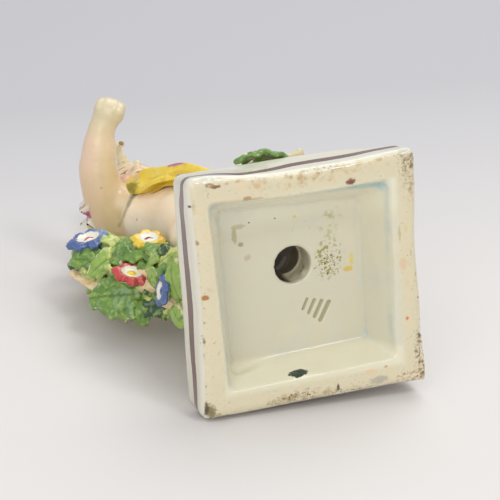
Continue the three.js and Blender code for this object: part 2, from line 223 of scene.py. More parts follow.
def model_egg(finer):
    deselect()
    bpy.ops.mesh.primitive_uv_sphere_add(segments=24 * finer, ring_count=14 * finer, radius=1)
    egg = bpy.context.object
    mesh = egg.data
    bpy.data.objects.remove(egg)
    return mesh


EGGS = {finer: model_egg(finer) for finer in (1, 2)}


def lump(centre, radii, axis=UP, finer=1):
    """Lays an egg of clay, a copy of the model egg, with its third radius along "axis"."""
    egg = bpy.data.objects.new("lump", EGGS[finer].copy())
    turn = UP.rotation_difference(Vector(axis))
    egg.matrix_world = Matrix.LocRotScale(here(*centre), turn, Vector(radii) * MM)
    bpy.context.scene.collection.objects.link(egg)
    return egg


def press_together(name, grain, rounds):
    """Makes one piece with one skin of all the lumps laid since the last one."""
    deselect()
    for piece in bpy.context.scene.collection.objects:
        if piece.name.startswith("lump"):
            piece.select_set(True)
            bpy.context.view_layer.objects.active = piece
    bpy.ops.object.join()
    piece = bpy.context.object
    piece.name = name
    apply_place(piece)
    skin_over(piece, grain, rounds)
    return piece


plinth = block(PLINTH_WIDTH / 2 + 0.1, PLINTH_DEPTH / 2 + 0.1, 0, PLINTH_HEIGHT)
plinth.name = "plinth"
ease_uprights(plinth, 2.4, 6)
apply_modifier(plinth, "BEVEL", width=0.25 * MM, segments=2, limit_method="ANGLE", angle_limit=1)

for centre, radii in (((-2, 2, 13), (23, 23, 7)), ((-8, 8, 17), (17, 16, 9)), ((3, -19, 12.4), (17, 9.6, 5.4))):
    mound = lump(centre, radii, finer=2)
    apply_place(mound)
    apply_modifier(plinth, "BOOLEAN", operation="UNION", object=mound, solver="EXACT")
    bpy.data.objects.remove(mound)

core = block(1, 1, -1, RECESS_DEPTH)
for point in core.data.vertices:
    is_left, is_front, is_floor = point.co.x < middle.x, point.co.y < middle.y, point.co.z > 0
    number = {(True, True): 0, (False, True): 1, (False, False): 2, (True, False): 3}[is_left, is_front]
    mouth, floor = Vector(RECESS_MOUTH[number]), Vector(RECESS_FLOOR[number])
    below_mouth = mouth - (floor - mouth) / RECESS_DEPTH
    point.co = here(*floor, RECESS_DEPTH) if is_floor else here(*below_mouth, -1)
ease_uprights(core, 1.5, 4)
apply_modifier(core, "BEVEL", width=0.8 * MM, segments=4, limit_method="ANGLE", angle_limit=1)
bpy.ops.mesh.primitive_cylinder_add(
    vertices=48, radius=VENT_RADIUS * MM, depth=8 * MM, location=here(*VENT, RECESS_DEPTH + 3)
)
vent = bpy.context.object
apply_place(vent)
cavity = lump(CAVITY, CAVITY_SIZE)
apply_place(cavity)
for tool in (core, vent, cavity):
    apply_modifier(plinth, "BOOLEAN", operation="DIFFERENCE", object=tool, solver="EXACT")
    bpy.data.objects.remove(tool)
burr = lump((VENT[0] + 3.8, VENT[1] + 3.4, 12), (1, 0.9, 1.3))
apply_place(burr)
apply_modifier(plinth, "BOOLEAN", operation="UNION", object=burr, solver="EXACT")
bpy.data.objects.remove(burr)
skin_over(plinth, 0.42, 1)

CHIPS = (
    ((-23.6, -29.8, 0), 2.4, 0.55),
    ((-21.4, -30, 0.4), 1.6, 0.4),
    ((-28.6, 28.8, 0), 2.6, 0.7),
    ((28.9, 21, 0), 1.8, 0.3),
    ((28.6, 27.5, 0), 2, 0.25),
    ((29, 16.2, 0), 1.6, 0.5),
    ((26.5, -28.9, 0), 2.2, 0.5),
    ((5.5, 28.4, 0), 0.9, 0.35),
    ((-6, 29.4, 0), 2, 0.3),
)
STROKES = [
    ((2.2 + 1.9 * n, 6.2 + 0.6 * n, 9.3), (1 + 1.5 * n, 8.6 + 1.2 * n, 9.3), 0.5 + 0.1 * n) for n in range(4)
]
SPLASH = (-4.1, 22.1, 1.8)
SUNK_CORNER = (*RECESS_FLOOR[3], RECESS_DEPTH)
# How far the rim was pulled out of true when the mould came off: place, reach and move
PULLS = (
    ((-29, -29.5), (26, 15), (-0.4, -1.9)),
    ((-29, -29.5), (12, 15), (-0.3, 0)),
    ((-29, 29.5), (9, 15), (-0.8, 0)),
    ((29, -29.5), (22, 15), (0, -1.1)),
    ((29, 28.5), (10, 13), (1.5, 0.7)),
    ((29, -6), (6, 16), (-0.6, 0)),
    ((-29, 0), (6, 16), (0.4, 0)),
)


def smooth_rise(value, start, end):
    """0 at start and 1 at end, with soft ends."""
    share = np.clip((value - start) / (end - start), 0, 1)
    return share * share * (3 - 2 * share)


def ripple(places, size, seed=0):
    """Soft unevenness, from about -1 to 1, of that size in millimetres, at each place."""
    return np.array([noise.noise(Vector(place) / size + Vector((seed, 0, 0))) for place in places])


def points_of(piece, what="co"):
    values = np.empty(len(piece.data.vertices) * 3)
    piece.data.vertices.foreach_get(what, values)
    return values.reshape(-1, 3)


def sculpt(piece, move):
    """Moves every point by the millimetres that "move" works out from its place and its normal."""
    places = (points_of(piece) - np.array(middle)) / MM
    places += move(places, points_of(piece, "normal"))
    piece.data.vertices.foreach_set("co", (places * MM + np.array(middle)).ravel())
    piece.data.update()


def to_stroke(places, start, end):
    """How far each place is from a straight stroke."""
    start, line = np.array(start), np.array(end) - np.array(start)
    share = np.clip(((places - start) @ line) / (line @ line), 0, 1)
    return np.linalg.norm(places - start - share[:, None] * line, axis=1)


def subdivide_where(piece, is_inside, cuts):
    """Cuts the faces finer whose middle, in millimetres, is inside."""
    bpy.ops.object.mode_set(mode="EDIT")
    bpy.ops.mesh.select_mode(type="FACE")
    bpy.ops.mesh.select_all(action="DESELECT")
    bpy.ops.object.mode_set(mode="OBJECT")
    for face in piece.data.polygons:
        face.select = is_inside((face.center - middle) / MM)
    bpy.ops.object.mode_set(mode="EDIT")
    bpy.ops.mesh.subdivide(number_cuts=cuts)
    bpy.ops.object.mode_set(mode="OBJECT")


def evened(piece, rounds):
    """Where the points would lie if each were put amid its neighbours so many times."""
    mesh = piece.data
    ends = np.empty(len(mesh.edges) * 2, int)
    mesh.edges.foreach_get("vertices", ends)
    first, second = ends.reshape(-1, 2).T
    start, goal = np.concatenate((first, second)), np.concatenate((second, first))
    places = points_of(piece)
    counts = np.maximum(np.bincount(start, minlength=len(places)), 1)
    for _ in range(rounds):
        places = np.stack([np.bincount(start, places[goal, k], len(places)) for k in range(3)], 1) / counts[:, None]
    return places


def keep_value(piece, name, values):
    """Keeps one value for each point, for the finish to use."""
    layer = piece.data.attributes.new(name, "FLOAT", "POINT")
    layer.data.foreach_set("value", values.astype(np.float32))


def mark_hollows(piece, reach=14):
    """Keeps how deep in a hollow each point lies, where glaze pools, as the attribute "hollow"."""
    depth = ((evened(piece, reach) - points_of(piece)) * points_of(piece, "normal")).sum(1) / MM
    keep_value(piece, "hollow", depth)


def shape_plinth(places, normals):
    """The slumped front corner, uneven sides, chipped edges, pressed strokes and a splash of glaze."""
    x, y, z = places.T
    move = np.zeros_like(places)
    drop = 5.2 * smooth_rise(x, 10, 29)
    near_front = smooth_rise(y, -13, -27)
    on_face = smooth_rise(y, -25, -29)
    height = on_face * z / PLINTH_HEIGHT + (1 - on_face) * smooth_rise(z, RECESS_DEPTH, PLINTH_HEIGHT)
    move[:, 2] -= drop * near_front * height
    uneven = 0.12 + 0.1 * ripple(places, 16) + 0.05 * ripple(places, 5, 3)
    is_side = (np.abs(normals[:, 2]) < 0.7) & (np.maximum(np.abs(x), np.abs(y)) > 26)
    move -= normals * np.where(is_side & (z < PLINTH_HEIGHT), uneven, 0)[:, None]
    is_rim = (z < 0.9) & (normals[:, 2] < -0.3)
    move[:, 2] += np.where(is_rim, 0.07 + 0.07 * ripple(places, 3, 9), 0)
    ragged = 1 + 0.5 * ripple(places, 1.4, 5)
    for centre, radius, depth in CHIPS:
        away = np.linalg.norm(places - np.array(centre), axis=1) / (radius * ragged)
        move -= normals * (depth * smooth_rise(away, 1, 0.55))[:, None]
    for start, end, width in STROKES:
        move[:, 2] += 0.38 * smooth_rise(to_stroke(places, start, end), width, 0.4 * width)
    for at, reach, pull in PULLS:
        near = smooth_rise(np.abs(x - at[0]), reach[0], 0) * smooth_rise(np.abs(y - at[1]), reach[1], 0)
        move[:, :2] += (near * smooth_rise(z, 13, 1))[:, None] * np.array(pull)
    away = np.linalg.norm((places - np.array(SUNK_CORNER)) / np.array((9, 4, 5)), axis=1)
    move[:, 1] += 1.3 * smooth_rise(away, 1, 0.1)
    away = np.linalg.norm((places - np.array(SPLASH)) / np.array((2.6, 1.8, 1.5)), axis=1) / ragged
    move += normals * (0.22 * smooth_rise(away, 1, 0.7))[:, None]
    move[:, 0] = np.minimum(move[:, 0], PLINTH_WIDTH / 2 - 0.05 - x)
    move[:, 1] = np.minimum(move[:, 1], PLINTH_DEPTH / 2 - 0.05 - y)
    move[:, 2] = np.maximum(move[:, 2], 0.02 - z)
    return move


subdivide_where(plinth, lambda at: -0.4 < at.x < 9.2 and 5 < at.y < 13.6 and 8.6 < at.z < 10, 2)
sculpt(plinth, shape_plinth)
mark_hollows(plinth)
places = (points_of(plinth) - np.array(middle)) / MM
from_axis = np.linalg.norm(places[:, :2] - np.array(VENT), axis=1)
in_vent = smooth_rise(from_axis, VENT_RADIUS + 0.6, VENT_RADIUS + 0.3) * (places[:, 2] < 18.5)
from_cavity = np.linalg.norm((places - np.array(CAVITY)) / np.array(CAVITY_SIZE), axis=1)
in_cavity = np.maximum(in_vent, smooth_rise(from_cavity, 1.13, 1.06))
keep_value(plinth, "inside", in_cavity * smooth_rise(places[:, 2], 10, 11.4))


def add(tree, kind, settings=None, **inputs):
    """Places a shader node; each named input takes a plain value or another node's output."""
    made = tree.nodes.new("ShaderNode" + kind)
    for key, value in (settings or {}).items():
        setattr(made, key, value)
    for key, value in inputs.items():
        socket = made.inputs[key.replace("_", " ")]
        if isinstance(value, bpy.types.NodeSocket):
            tree.links.new(value, socket)
        else:
            socket.default_value = value
    return made


def connect(tree, made, number, value):
    """Feeds input "number" of a node whose inputs share a name."""
    if isinstance(value, bpy.types.NodeSocket):
        tree.links.new(value, made.inputs[number])
    else:
        made.inputs[number].default_value = value


def sum_of(tree, operation, *values):
    """Result of one arithmetic node."""
    made = add(tree, "Math", {"operation": operation})
    for number, value in enumerate(values):
        connect(tree, made, number, value)
    return made.outputs[0]


def rise(tree, value, start, end):
    """0 where the value is at start, 1 where it is at end, with soft ends."""
    inputs = {"Value": value, "From_Min": start, "From_Max": end}
    return add(tree, "MapRange", {"interpolation_type": "SMOOTHSTEP"}, **inputs).outputs[0]


def effect(name, inputs, output, kind="NodeSocketFloat"):
    """An empty effect that any finish can use, with its inputs and its one output named."""
    group = bpy.data.node_groups.new(name, "ShaderNodeTree")
    for label, (sort, value) in inputs.items():
        socket = group.interface.new_socket(label, in_out="INPUT", socket_type="NodeSocket" + sort)
        socket.default_value = value
    group.interface.new_socket(output, in_out="OUTPUT", socket_type=kind)
    return group, group.nodes.new("NodeGroupInput").outputs, group.nodes.new("NodeGroupOutput").inputs[0]


# Blotches: an uneven mask that covers a share of the surface
blotches, given, result = effect(
    "blotches",
    {
        "Point": ("Vector", (0, 0, 0)),
        "Size": ("Float", 5),
        "Cover": ("Float", 0.5),
        "Softness": ("Float", 0.1),
        "Detail": ("Float", 3),
    },
    "Mask",
)
tree = blotches
pattern = add(
    tree,
    "TexNoise",
    Vector=given["Point"],
    Scale=sum_of(tree, "DIVIDE", 1, given["Size"]),
    Detail=given["Detail"],
)
level = sum_of(tree, "SUBTRACT", 0.78, sum_of(tree, "MULTIPLY", given["Cover"], 0.56))
tree.links.new(
    rise(tree, pattern.outputs["Fac"], level, sum_of(tree, "ADD", level, given["Softness"])), result
)

# Spot: a ragged mark of a given size round one point
spot, given, result = effect(
    "spot",
    {
        "Point": ("Vector", (0, 0, 0)),
        "Centre": ("Vector", (0, 0, 0)),
        "Size": ("Vector", (1, 1, 1)),
        "Ragged": ("Float", 0.3),
        "Softness": ("Float", 0.3),
    },
    "Mask",
)
tree = spot
offset = add(tree, "VectorMath", {"operation": "SUBTRACT"})
connect(tree, offset, 0, given["Point"])
connect(tree, offset, 1, given["Centre"])
scaled = add(tree, "VectorMath", {"operation": "DIVIDE"})
connect(tree, scaled, 0, offset.outputs[0])
connect(tree, scaled, 1, given["Size"])
length = add(tree, "VectorMath", {"operation": "LENGTH"}, Vector=scaled.outputs[0]).outputs["Value"]
wobble = add(tree, "TexNoise", Vector=given["Point"], Scale=1.1, Detail=3).outputs["Fac"]
wobble = sum_of(tree, "MULTIPLY", sum_of(tree, "SUBTRACT", wobble, 0.5), given["Ragged"])
length = sum_of(tree, "ADD", length, sum_of(tree, "MULTIPLY", wobble, 4))
tree.links.new(rise(tree, length, 1, sum_of(tree, "SUBTRACT", 1, given["Softness"])), result)

# Glaze ripple: the height of a clear glaze that isn't quite even
ripples, given, result = effect("glaze_ripple", {"Point": ("Vector", (0, 0, 0))}, "Height")
tree = ripples
broad = add(tree, "TexNoise", Vector=given["Point"], Scale=0.22, Detail=2).outputs["Fac"]
fine = add(tree, "TexNoise", Vector=given["Point"], Scale=1.3, Detail=2).outputs["Fac"]
tree.links.new(sum_of(tree, "ADD", broad, sum_of(tree, "MULTIPLY", fine, 0.16)), result)


class Finish:
    """A glazed surface as it is painted; "colour" holds what has been laid on so far."""

    def __init__(self, name, colour):
        self.material = bpy.data.materials.new(name)
        self.material.use_nodes = True
        self.tree = self.material.node_tree
        self.shader = self.tree.nodes["Principled BSDF"]
        self.shader.inputs["Coat Weight"].default_value = 0.35
        self.shader.inputs["Coat Roughness"].default_value = 0.07
        self.colour, self.roughness = colour, 0.24
        seat = add(self.tree, "TexCoord").outputs["Object"]
        inputs = {"Vector": seat, "Location": tuple(-middle / MM), "Scale": (1 / MM,) * 3}
        self.point = add(self.tree, "Mapping", **inputs).outputs["Vector"]
        self.x, self.y, self.z = add(self.tree, "SeparateXYZ", Vector=self.point).outputs

    def effect(self, group, **inputs):
        return add(self.tree, "Group", {"node_tree": group}, **{"Point": self.point, **inputs}).outputs[0]

    def stretched(self, x, y, z):
        """The point on a figure drawn out by these factors, for brush strokes and runs."""
        return add(self.tree, "Mapping", Vector=self.point, Scale=(x, y, z)).outputs["Vector"]

    def sum_of(self, operation, *values):
        return sum_of(self.tree, operation, *values)

    def rise(self, value, start, end):
        return rise(self.tree, value, start, end)

    def all_of(self, *masks):
        whole = masks[0]
        for mask in masks[1:]:
            whole = self.sum_of("MULTIPLY", whole, mask)
        return whole

    def attribute(self, name, output="Fac"):
        return add(self.tree, "Attribute", {"attribute_name": name}).outputs[output]

    def paint(self, colour, mask, amount=1):
        """Lays a colour over what is there, where the mask says."""
        made = add(self.tree, "Mix", {"data_type": "RGBA"})
        connect(self.tree, made, 0, mask if amount == 1 else self.sum_of("MULTIPLY", mask, amount))
        connect(self.tree, made, 6, self.colour)
        connect(self.tree, made, 7, colour)
        self.colour = made.outputs[2]

    def dull(self, roughness, mask):
        """Makes the surface rougher or smoother where the mask says."""
        made = add(self.tree, "Mix", {"data_type": "FLOAT"})
        for number, value in ((0, mask), (2, self.roughness), (3, roughness)):
            connect(self.tree, made, number, value)
        self.roughness = made.outputs[0]

    def seal(self, ripple_height=0.5):
        """Connects what was painted, under the clear glaze."""
        connect(self.tree, self.shader, self.shader.inputs.find("Base Color"), self.colour)
        connect(self.tree, self.shader, self.shader.inputs.find("Roughness"), self.roughness)
        height = self.effect(ripples)
        bump = add(self.tree, "Bump", Height=height, Strength=0.35, Distance=ripple_height * MM)
        self.tree.links.new(bump.outputs["Normal"], self.shader.inputs["Normal"])
        return self.material

    def cover(self, piece, ripple_height=0.5):
        """Puts the finish on the piece."""
        piece.data.materials.clear()
        piece.data.materials.append(self.seal(ripple_height))


def belongs(piece):
    """The piece is part of the one fired figure."""
    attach(piece, "root")
    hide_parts("putto_figure")


CREAM = shade(224, 220, 202)
POOLED_BLUE = shade(168, 192, 196)
PUCE = shade(84, 20, 6)
RIM_BUFF = shade(218, 206, 170)
DIRT = shade(122, 92, 54)
STAINS = (
    # middle, size, colour, how much of it shows
    ((11.6, -24.7, 0.3), (1.3, 0.9, 1), shade(120, 62, 38), 0.95),
    ((-24.2, -29.4, 0.2), (1.2, 0.5, 1.6), shade(150, 112, 66), 0.8),
    ((-22.6, -28.8, 0.2), (1.5, 0.45, 1.6), shade(128, 88, 46), 0.9),
    ((-12.3, -27.5, 0), (1, 0.8, 1), shade(214, 164, 100), 0.6),
    ((-14.9, -24.7, 0.3), (1.1, 0.6, 1), shade(176, 130, 86), 0.8),
    ((-12.6, -24.4, 0.3), (1.8, 0.3, 1), shade(190, 150, 110), 0.6),
    ((-29.2, -24.7, 0.8), (0.5, 0.4, 1), shade(60, 48, 40), 0.9),
    ((-28.4, -15.7, 0), (0.7, 0.8, 1), shade(146, 110, 66), 0.85),
    ((-27.1, -2, 0), (1.1, 0.7, 1), shade(170, 112, 48), 0.95),
    ((-28.7, -7.5, 0), (0.6, 0.8, 1), shade(190, 160, 120), 0.6),
    ((-28.3, 8.7, 0), (0.6, 1.2, 1), shade(104, 76, 44), 0.9),
    ((-28.4, 12.4, 0), (0.35, 1.1, 1), shade(104, 76, 44), 0.9),
    ((-28.8, 18.9, 0), (0.4, 0.5, 1), shade(86, 62, 38), 0.9),
    ((-27.9, 27.4, 0), (1.5, 2.4, 2), shade(132, 116, 76), 0.9),
    ((-28.6, 26.4, 0), (0.5, 2.2, 2), shade(84, 66, 36), 0.9),
    ((-24.6, 29.2, 0.4), (3.4, 0.6, 1.5), shade(122, 90, 52), 0.75),
    ((5.5, 27.1, 0), (0.4, 1.1, 1), shade(66, 52, 40), 0.95),
    ((16.4, 27, 0), (2.6, 1.1, 1), shade(160, 154, 146), 0.6),
    ((18.5, 23.9, 0.3), (0.5, 0.4, 1), shade(196, 140, 66), 0.7),
    ((14.2, 24.4, 0.2), (1.4, 0.7, 1), shade(232, 196, 150), 0.6),
    ((24.7, 12.4, 0.2), (0.45, 0.5, 1), shade(216, 110, 50), 0.85),
    ((28.5, 13.4, 0), (0.6, 0.5, 1), shade(112, 84, 48), 0.85),
    ((28.2, 7.6, 0), (0.7, 0.35, 1), shade(150, 116, 78), 0.8),
    ((28.2, 17.4, 0), (0.9, 1.1, 1.4), shade(96, 70, 42), 0.9),
    ((24.2, -1.8, 0.2), (1.1, 1.6, 1), shade(224, 186, 152), 0.6),
    ((25.4, -10.5, 0.2), (0.35, 1.2, 1), shade(216, 200, 110), 0.6),
    ((23.7, -9.6, 0.4), (0.4, 2.2, 1), shade(180, 164, 110), 0.55),
    ((14.4, -2.2, 9.3), (0.6, 2, 1), shade(214, 198, 104), 0.85),
    ((13.4, 0.2, 9.3), (1.4, 0.7, 1), shade(212, 180, 76), 0.9),
    ((0.1, -15.4, 9.3), (0.5, 0.4, 1), shade(216, 200, 90), 0.8),
    ((-14.6, -15.2, 9.3), (2, 0.7, 1), shade(190, 180, 140), 0.8),
    ((-15.7, -12.8, 9.3), (0.7, 2, 1), shade(176, 164, 122), 0.8),
    ((-14.2, -10.6, 9.3), (0.8, 0.6, 1), shade(150, 140, 96), 0.8),
    ((-12.6, -7, 9.3), (0.9, 0.8, 1), shade(186, 172, 138), 0.7),
    ((-11.7, -15.8, 9.3), (0.28, 0.25, 1), shade(50, 54, 60), 0.9),
    ((-5, -15.8, 9.3), (0.3, 0.25, 1), shade(120, 116, 90), 0.8),
)

finish = Finish("glazed_plinth", CREAM)
far_x = finish.sum_of("ABSOLUTE", finish.x)
far_y = finish.sum_of("ABSOLUTE", finish.y)
to_face = finish.sum_of(
    "MINIMUM",
    finish.sum_of("SUBTRACT", PLINTH_WIDTH / 2, far_x),
    finish.sum_of("SUBTRACT", PLINTH_DEPTH / 2, far_y),
)
hollow = finish.attribute("hollow")
in_recess = finish.all_of(finish.rise(to_face, 4.4, 6), finish.rise(finish.z, 10.4, 9.5))
on_rim = finish.all_of(finish.rise(finish.z, 0.9, 0.5), finish.rise(to_face, 6.4, 4.6))
finish.paint(shade(216, 212, 190), in_recess)
# Painted shade and light in the recess: the floor is painted a little darker. The upper wall with the top of the
# floor, and the lower wall, are painted lighter to lift the shade that falls on them.
finish.paint(shade(207, 202, 178), finish.all_of(in_recess, finish.rise(finish.z, 8.4, 9.2)), 0.9)
finish.paint(shade(230, 226, 202), finish.all_of(in_recess, finish.rise(finish.y, -12, -18)), 0.8)
finish.paint(shade(232, 226, 198), finish.all_of(in_recess, finish.rise(finish.y, 18, 20)), 0.8)
finish.paint(shade(226, 214, 178), finish.effect(blotches, Size=16, Cover=0.45, Softness=0.25), 0.35)
finish.paint(shade(202, 206, 196), finish.all_of(in_recess, finish.effect(blotches, Size=11, Cover=0.4, Softness=0.35)), 0.6)
pooled = finish.rise(hollow, 0.08, 0.4)
by_highlight = finish.effect(spot, Centre=(-17, 19, 8), Size=(12, 5, 4), Ragged=0, Softness=0.4)
pooled = finish.all_of(pooled, finish.sum_of("SUBTRACT", 1, by_highlight))
finish.paint(POOLED_BLUE, finish.all_of(pooled, finish.effect(blotches, Size=8, Cover=0.7, Softness=0.4)), 0.9)
mouth_band = finish.all_of(finish.rise(finish.z, 0.6, 1.4), finish.rise(finish.z, 5, 2.4))
far_walls = finish.sum_of("MAXIMUM", finish.rise(finish.y, -19.5, -21), finish.rise(finish.x, -20, -21.5))
far_walls = finish.sum_of("MAXIMUM", far_walls, finish.all_of(finish.rise(finish.x, 18.5, 20), finish.rise(finish.z, 3, 1.6)))
runs = finish.effect(blotches, Size=9, Cover=0.75, Softness=0.5)
in_mouth = finish.all_of(mouth_band, finish.rise(to_face, 4.6, 5.4))
finish.paint(POOLED_BLUE, finish.all_of(in_mouth, far_walls, runs), 0.8)
bluest = finish.effect(spot, Centre=(16.5, -22.6, 2.5), Size=(7, 2.4, 3), Ragged=0.15, Softness=0.6)
finish.paint(shade(150, 190, 194), finish.all_of(bluest, mouth_band), 0.8)
finish.paint(RIM_BUFF, on_rim, 0.8)
finish.paint(shade(232, 208, 172), finish.all_of(on_rim, finish.effect(blotches, Size=5, Cover=0.35)), 0.55)

# The painted line: puce enamel, thinner and lower where it turns the front left corner
from_corner = add(finish.tree, "VectorMath", {"operation": "DISTANCE"})
connect(finish.tree, from_corner, 0, finish.point)
connect(finish.tree, from_corner, 1, (-29, -29.5, 4))
near_corner = finish.rise(from_corner.outputs["Value"], 9, 1)
sway = add(finish.tree, "TexNoise", Vector=finish.point, Scale=0.06, Detail=1).outputs["Fac"]
on_front = finish.rise(finish.sum_of("SUBTRACT", finish.sum_of("ADD", finish.y, far_x), 0), 1, -1)
climb = finish.sum_of("MULTIPLY", finish.rise(finish.x, -22, 1), 3.7)
climb = finish.sum_of("ADD", climb, finish.sum_of("MULTIPLY", finish.rise(finish.x, 12, 28), 1.2))
front_height = finish.sum_of("ADD", 1.9, climb)
front_height = finish.sum_of("ADD", front_height, finish.sum_of("MULTIPLY", finish.rise(finish.x, -15, -22), 2.9))
other_height = finish.sum_of("SUBTRACT", 6.9, finish.sum_of("MULTIPLY", near_corner, 2.4))
other_height = finish.sum_of("SUBTRACT", other_height, finish.rise(finish.y, 12, 27))
height_gap = finish.sum_of("SUBTRACT", front_height, other_height)
line_height = finish.sum_of("ADD", other_height, finish.sum_of("MULTIPLY", on_front, height_gap))
line_height = finish.sum_of("ADD", line_height, finish.sum_of("MULTIPLY", sway, 0.6))
swell = finish.all_of(finish.rise(finish.x, -14, 4), finish.rise(finish.x, 28.5, 20), on_front)
half_line = finish.sum_of("SUBTRACT", 1.75, finish.sum_of("MULTIPLY", on_front, 0.6))
half_line = finish.sum_of("ADD", half_line, finish.sum_of("MULTIPLY", swell, 0.25))
half_line = finish.sum_of("SUBTRACT", half_line, finish.sum_of("MULTIPLY", near_corner, 0.5))
turn_in = finish.all_of(finish.rise(finish.x, -15, -22), on_front)
half_line = finish.sum_of("ADD", half_line, finish.sum_of("MULTIPLY", turn_in, 0.8))
jitter = finish.sum_of("MULTIPLY", finish.effect(blotches, Size=1.6, Cover=0.5, Softness=0.5), 0.3)
from_line = finish.sum_of("ABSOLUTE", finish.sum_of("SUBTRACT", finish.z, line_height))
from_line = finish.sum_of("SUBTRACT", finish.sum_of("ADD", from_line, jitter), half_line)
on_sides = finish.all_of(finish.rise(to_face, 2.2, 1.6), finish.rise(finish.z, 0.9, 1.3))
finish.paint(PUCE, finish.all_of(finish.rise(from_line, 0.2, -0.15), on_sides), 0.95)

# Dirt rubbed into the foot rim, most at the corners and along the edges
corner_dirt = finish.sum_of("ADD", finish.rise(far_x, 20, 29), finish.rise(far_y, 20, 29.5))
corner_dirt = finish.rise(corner_dirt, 1.1, 2)
edge_dirt = finish.rise(to_face, 1.6, 0.2)
dirt_share = finish.sum_of("ADD", finish.sum_of("MULTIPLY", corner_dirt, 0.4), 0.34)
specks = finish.effect(blotches, Size=0.9, Cover=dirt_share, Softness=0.2, Detail=5)
where = finish.effect(blotches, Size=8, Cover=0.7, Softness=0.2)
finish.paint(DIRT, finish.all_of(specks, where, on_rim), 0.85)
rubbed = finish.effect(blotches, Size=2.6, Cover=0.45, Softness=0.2, Detail=4)
finish.paint(shade(176, 148, 100), finish.all_of(edge_dirt, rubbed, on_rim), 0.8)
finish.dull(0.5, finish.all_of(on_rim, where))
for centre, size, colour, amount in STAINS:
    wide = tuple(1.2 * reach for reach in size)
    mask = finish.effect(spot, Centre=centre, Size=wide, Ragged=0.25, Softness=0.5)
    finish.paint(colour, mask, amount)

# Specks of yellow-green enamel that fell on the recess, and dirt ground into the rim in places
SPECKLED = (
    # middle, size, grain, share, softness, colour, amount
    ((8.4, -3.4, 9.3), (4.8, 6, 1), 0.75, 0.46, 0.05, shade(150, 142, 64), 0.9),
    ((8, -1.6, 9.3), (4, 4.6, 1), 0.55, 0.34, 0.04, shade(88, 80, 36), 0.9),
    ((9, -12.4, 9.3), (4, 5, 1), 1.9, 0.56, 0.25, shade(172, 166, 108), 0.75),
    ((2.4, -12, 9.3), (5, 3, 1), 1.2, 0.32, 0.1, shade(186, 182, 140), 0.6),
    ((27.4, -24.4, 0), (4, 9, 3), 1.4, 0.72, 0.5, shade(146, 124, 80), 0.9),
    ((26.8, -26, 0), (3.4, 5, 3), 0.6, 0.42, 0.15, shade(110, 84, 48), 0.8),
    ((-4, 27.8, 0), (12, 2.6, 3), 2.4, 0.68, 0.3, shade(166, 142, 92), 0.9),
    ((-5.6, 27.6, 0), (8, 2.1, 3), 0.55, 0.52, 0.2, shade(92, 68, 36), 0.9),
    ((8.6, 28.4, 0), (8, 1.4, 3), 0.7, 0.52, 0.25, shade(118, 90, 52), 0.85),
    ((28, 22, 0), (2.4, 7.5, 3), 0.8, 0.66, 0.3, shade(104, 74, 40), 0.9),
    ((24.5, 28, 0), (5, 2.4, 3), 0.8, 0.6, 0.3, shade(118, 84, 44), 0.9),
    ((0, -28, 0), (17, 2.8, 3), 2.4, 0.66, 0.35, shade(182, 150, 94), 0.95),
    ((4, -28.6, 0), (9, 1.3, 3), 0.6, 0.42, 0.2, shade(126, 98, 56), 0.75),
    ((-28.4, 10, 0), (1.2, 6, 3), 0.7, 0.4, 0.2, shade(104, 78, 44), 0.85),
    ((15, -28.4, 0), (10, 1.9, 3), 2, 0.6, 0.3, shade(196, 170, 120), 0.8),
    ((-26.4, -6, 0), (2.4, 14, 3), 3, 0.42, 0.3, shade(196, 172, 126), 0.6),
    ((26.6, 0, 0), (2.6, 20, 3), 2.4, 0.42, 0.3, shade(206, 188, 144), 0.6),
)
for centre, size, grain, share, softness, colour, amount in SPECKLED:
    field = finish.effect(spot, Centre=centre, Size=size, Ragged=0.25, Softness=0.5)
    dust = finish.effect(blotches, Size=grain, Cover=share, Softness=softness, Detail=3)
    finish.paint(colour, finish.all_of(field, dust), amount)
splash = finish.effect(spot, Centre=SPLASH, Size=(2.6, 2.4, 1.45), Ragged=0.25, Softness=0.15)
finish.paint(shade(40, 56, 44), splash)
finish.paint(shade(96, 112, 66), finish.all_of(splash, finish.effect(blotches, Size=1.4, Cover=0.35, Softness=0.1)), 0.7)
pressed = finish.rise(finish.z, 9.4, 9.6)
marks_here = finish.effect(spot, Centre=(4.4, 9.6, 9.4), Size=(5.4, 4.8, 3), Ragged=0, Softness=0.1)
finish.paint(shade(164, 158, 122), finish.all_of(pressed, marks_here))

# Bare, darker clay inside the vent, painted near black deep inside as painted shadow, and green and brown washes over
# the ground
from_vent = add(finish.tree, "VectorMath", {"operation": "DISTANCE"})
connect(finish.tree, from_vent, 0, add(finish.tree, "CombineXYZ", X=finish.x, Y=finish.y).outputs[0])
connect(finish.tree, from_vent, 1, (*VENT, 0))
inside = finish.attribute("inside")
slant = finish.sum_of("MULTIPLY", finish.sum_of("SUBTRACT", finish.y, VENT[1]), 0.35)
lit_side = finish.sum_of("ADD", finish.sum_of("SUBTRACT", finish.x, VENT[0]), slant)
lit_vent_wall = finish.all_of(
    finish.rise(from_vent.outputs["Value"], 4.05, 4.4),
    finish.rise(from_vent.outputs["Value"], 5.6, 5.2),
    finish.rise(lit_side, 0.6, 2.2),
)
finish.paint(shade(190, 180, 144), inside, 0.85)
finish.paint(shade(126, 96, 56), finish.all_of(inside, finish.effect(blotches, Size=2.4, Cover=0.4, Softness=0.2)), 0.75)
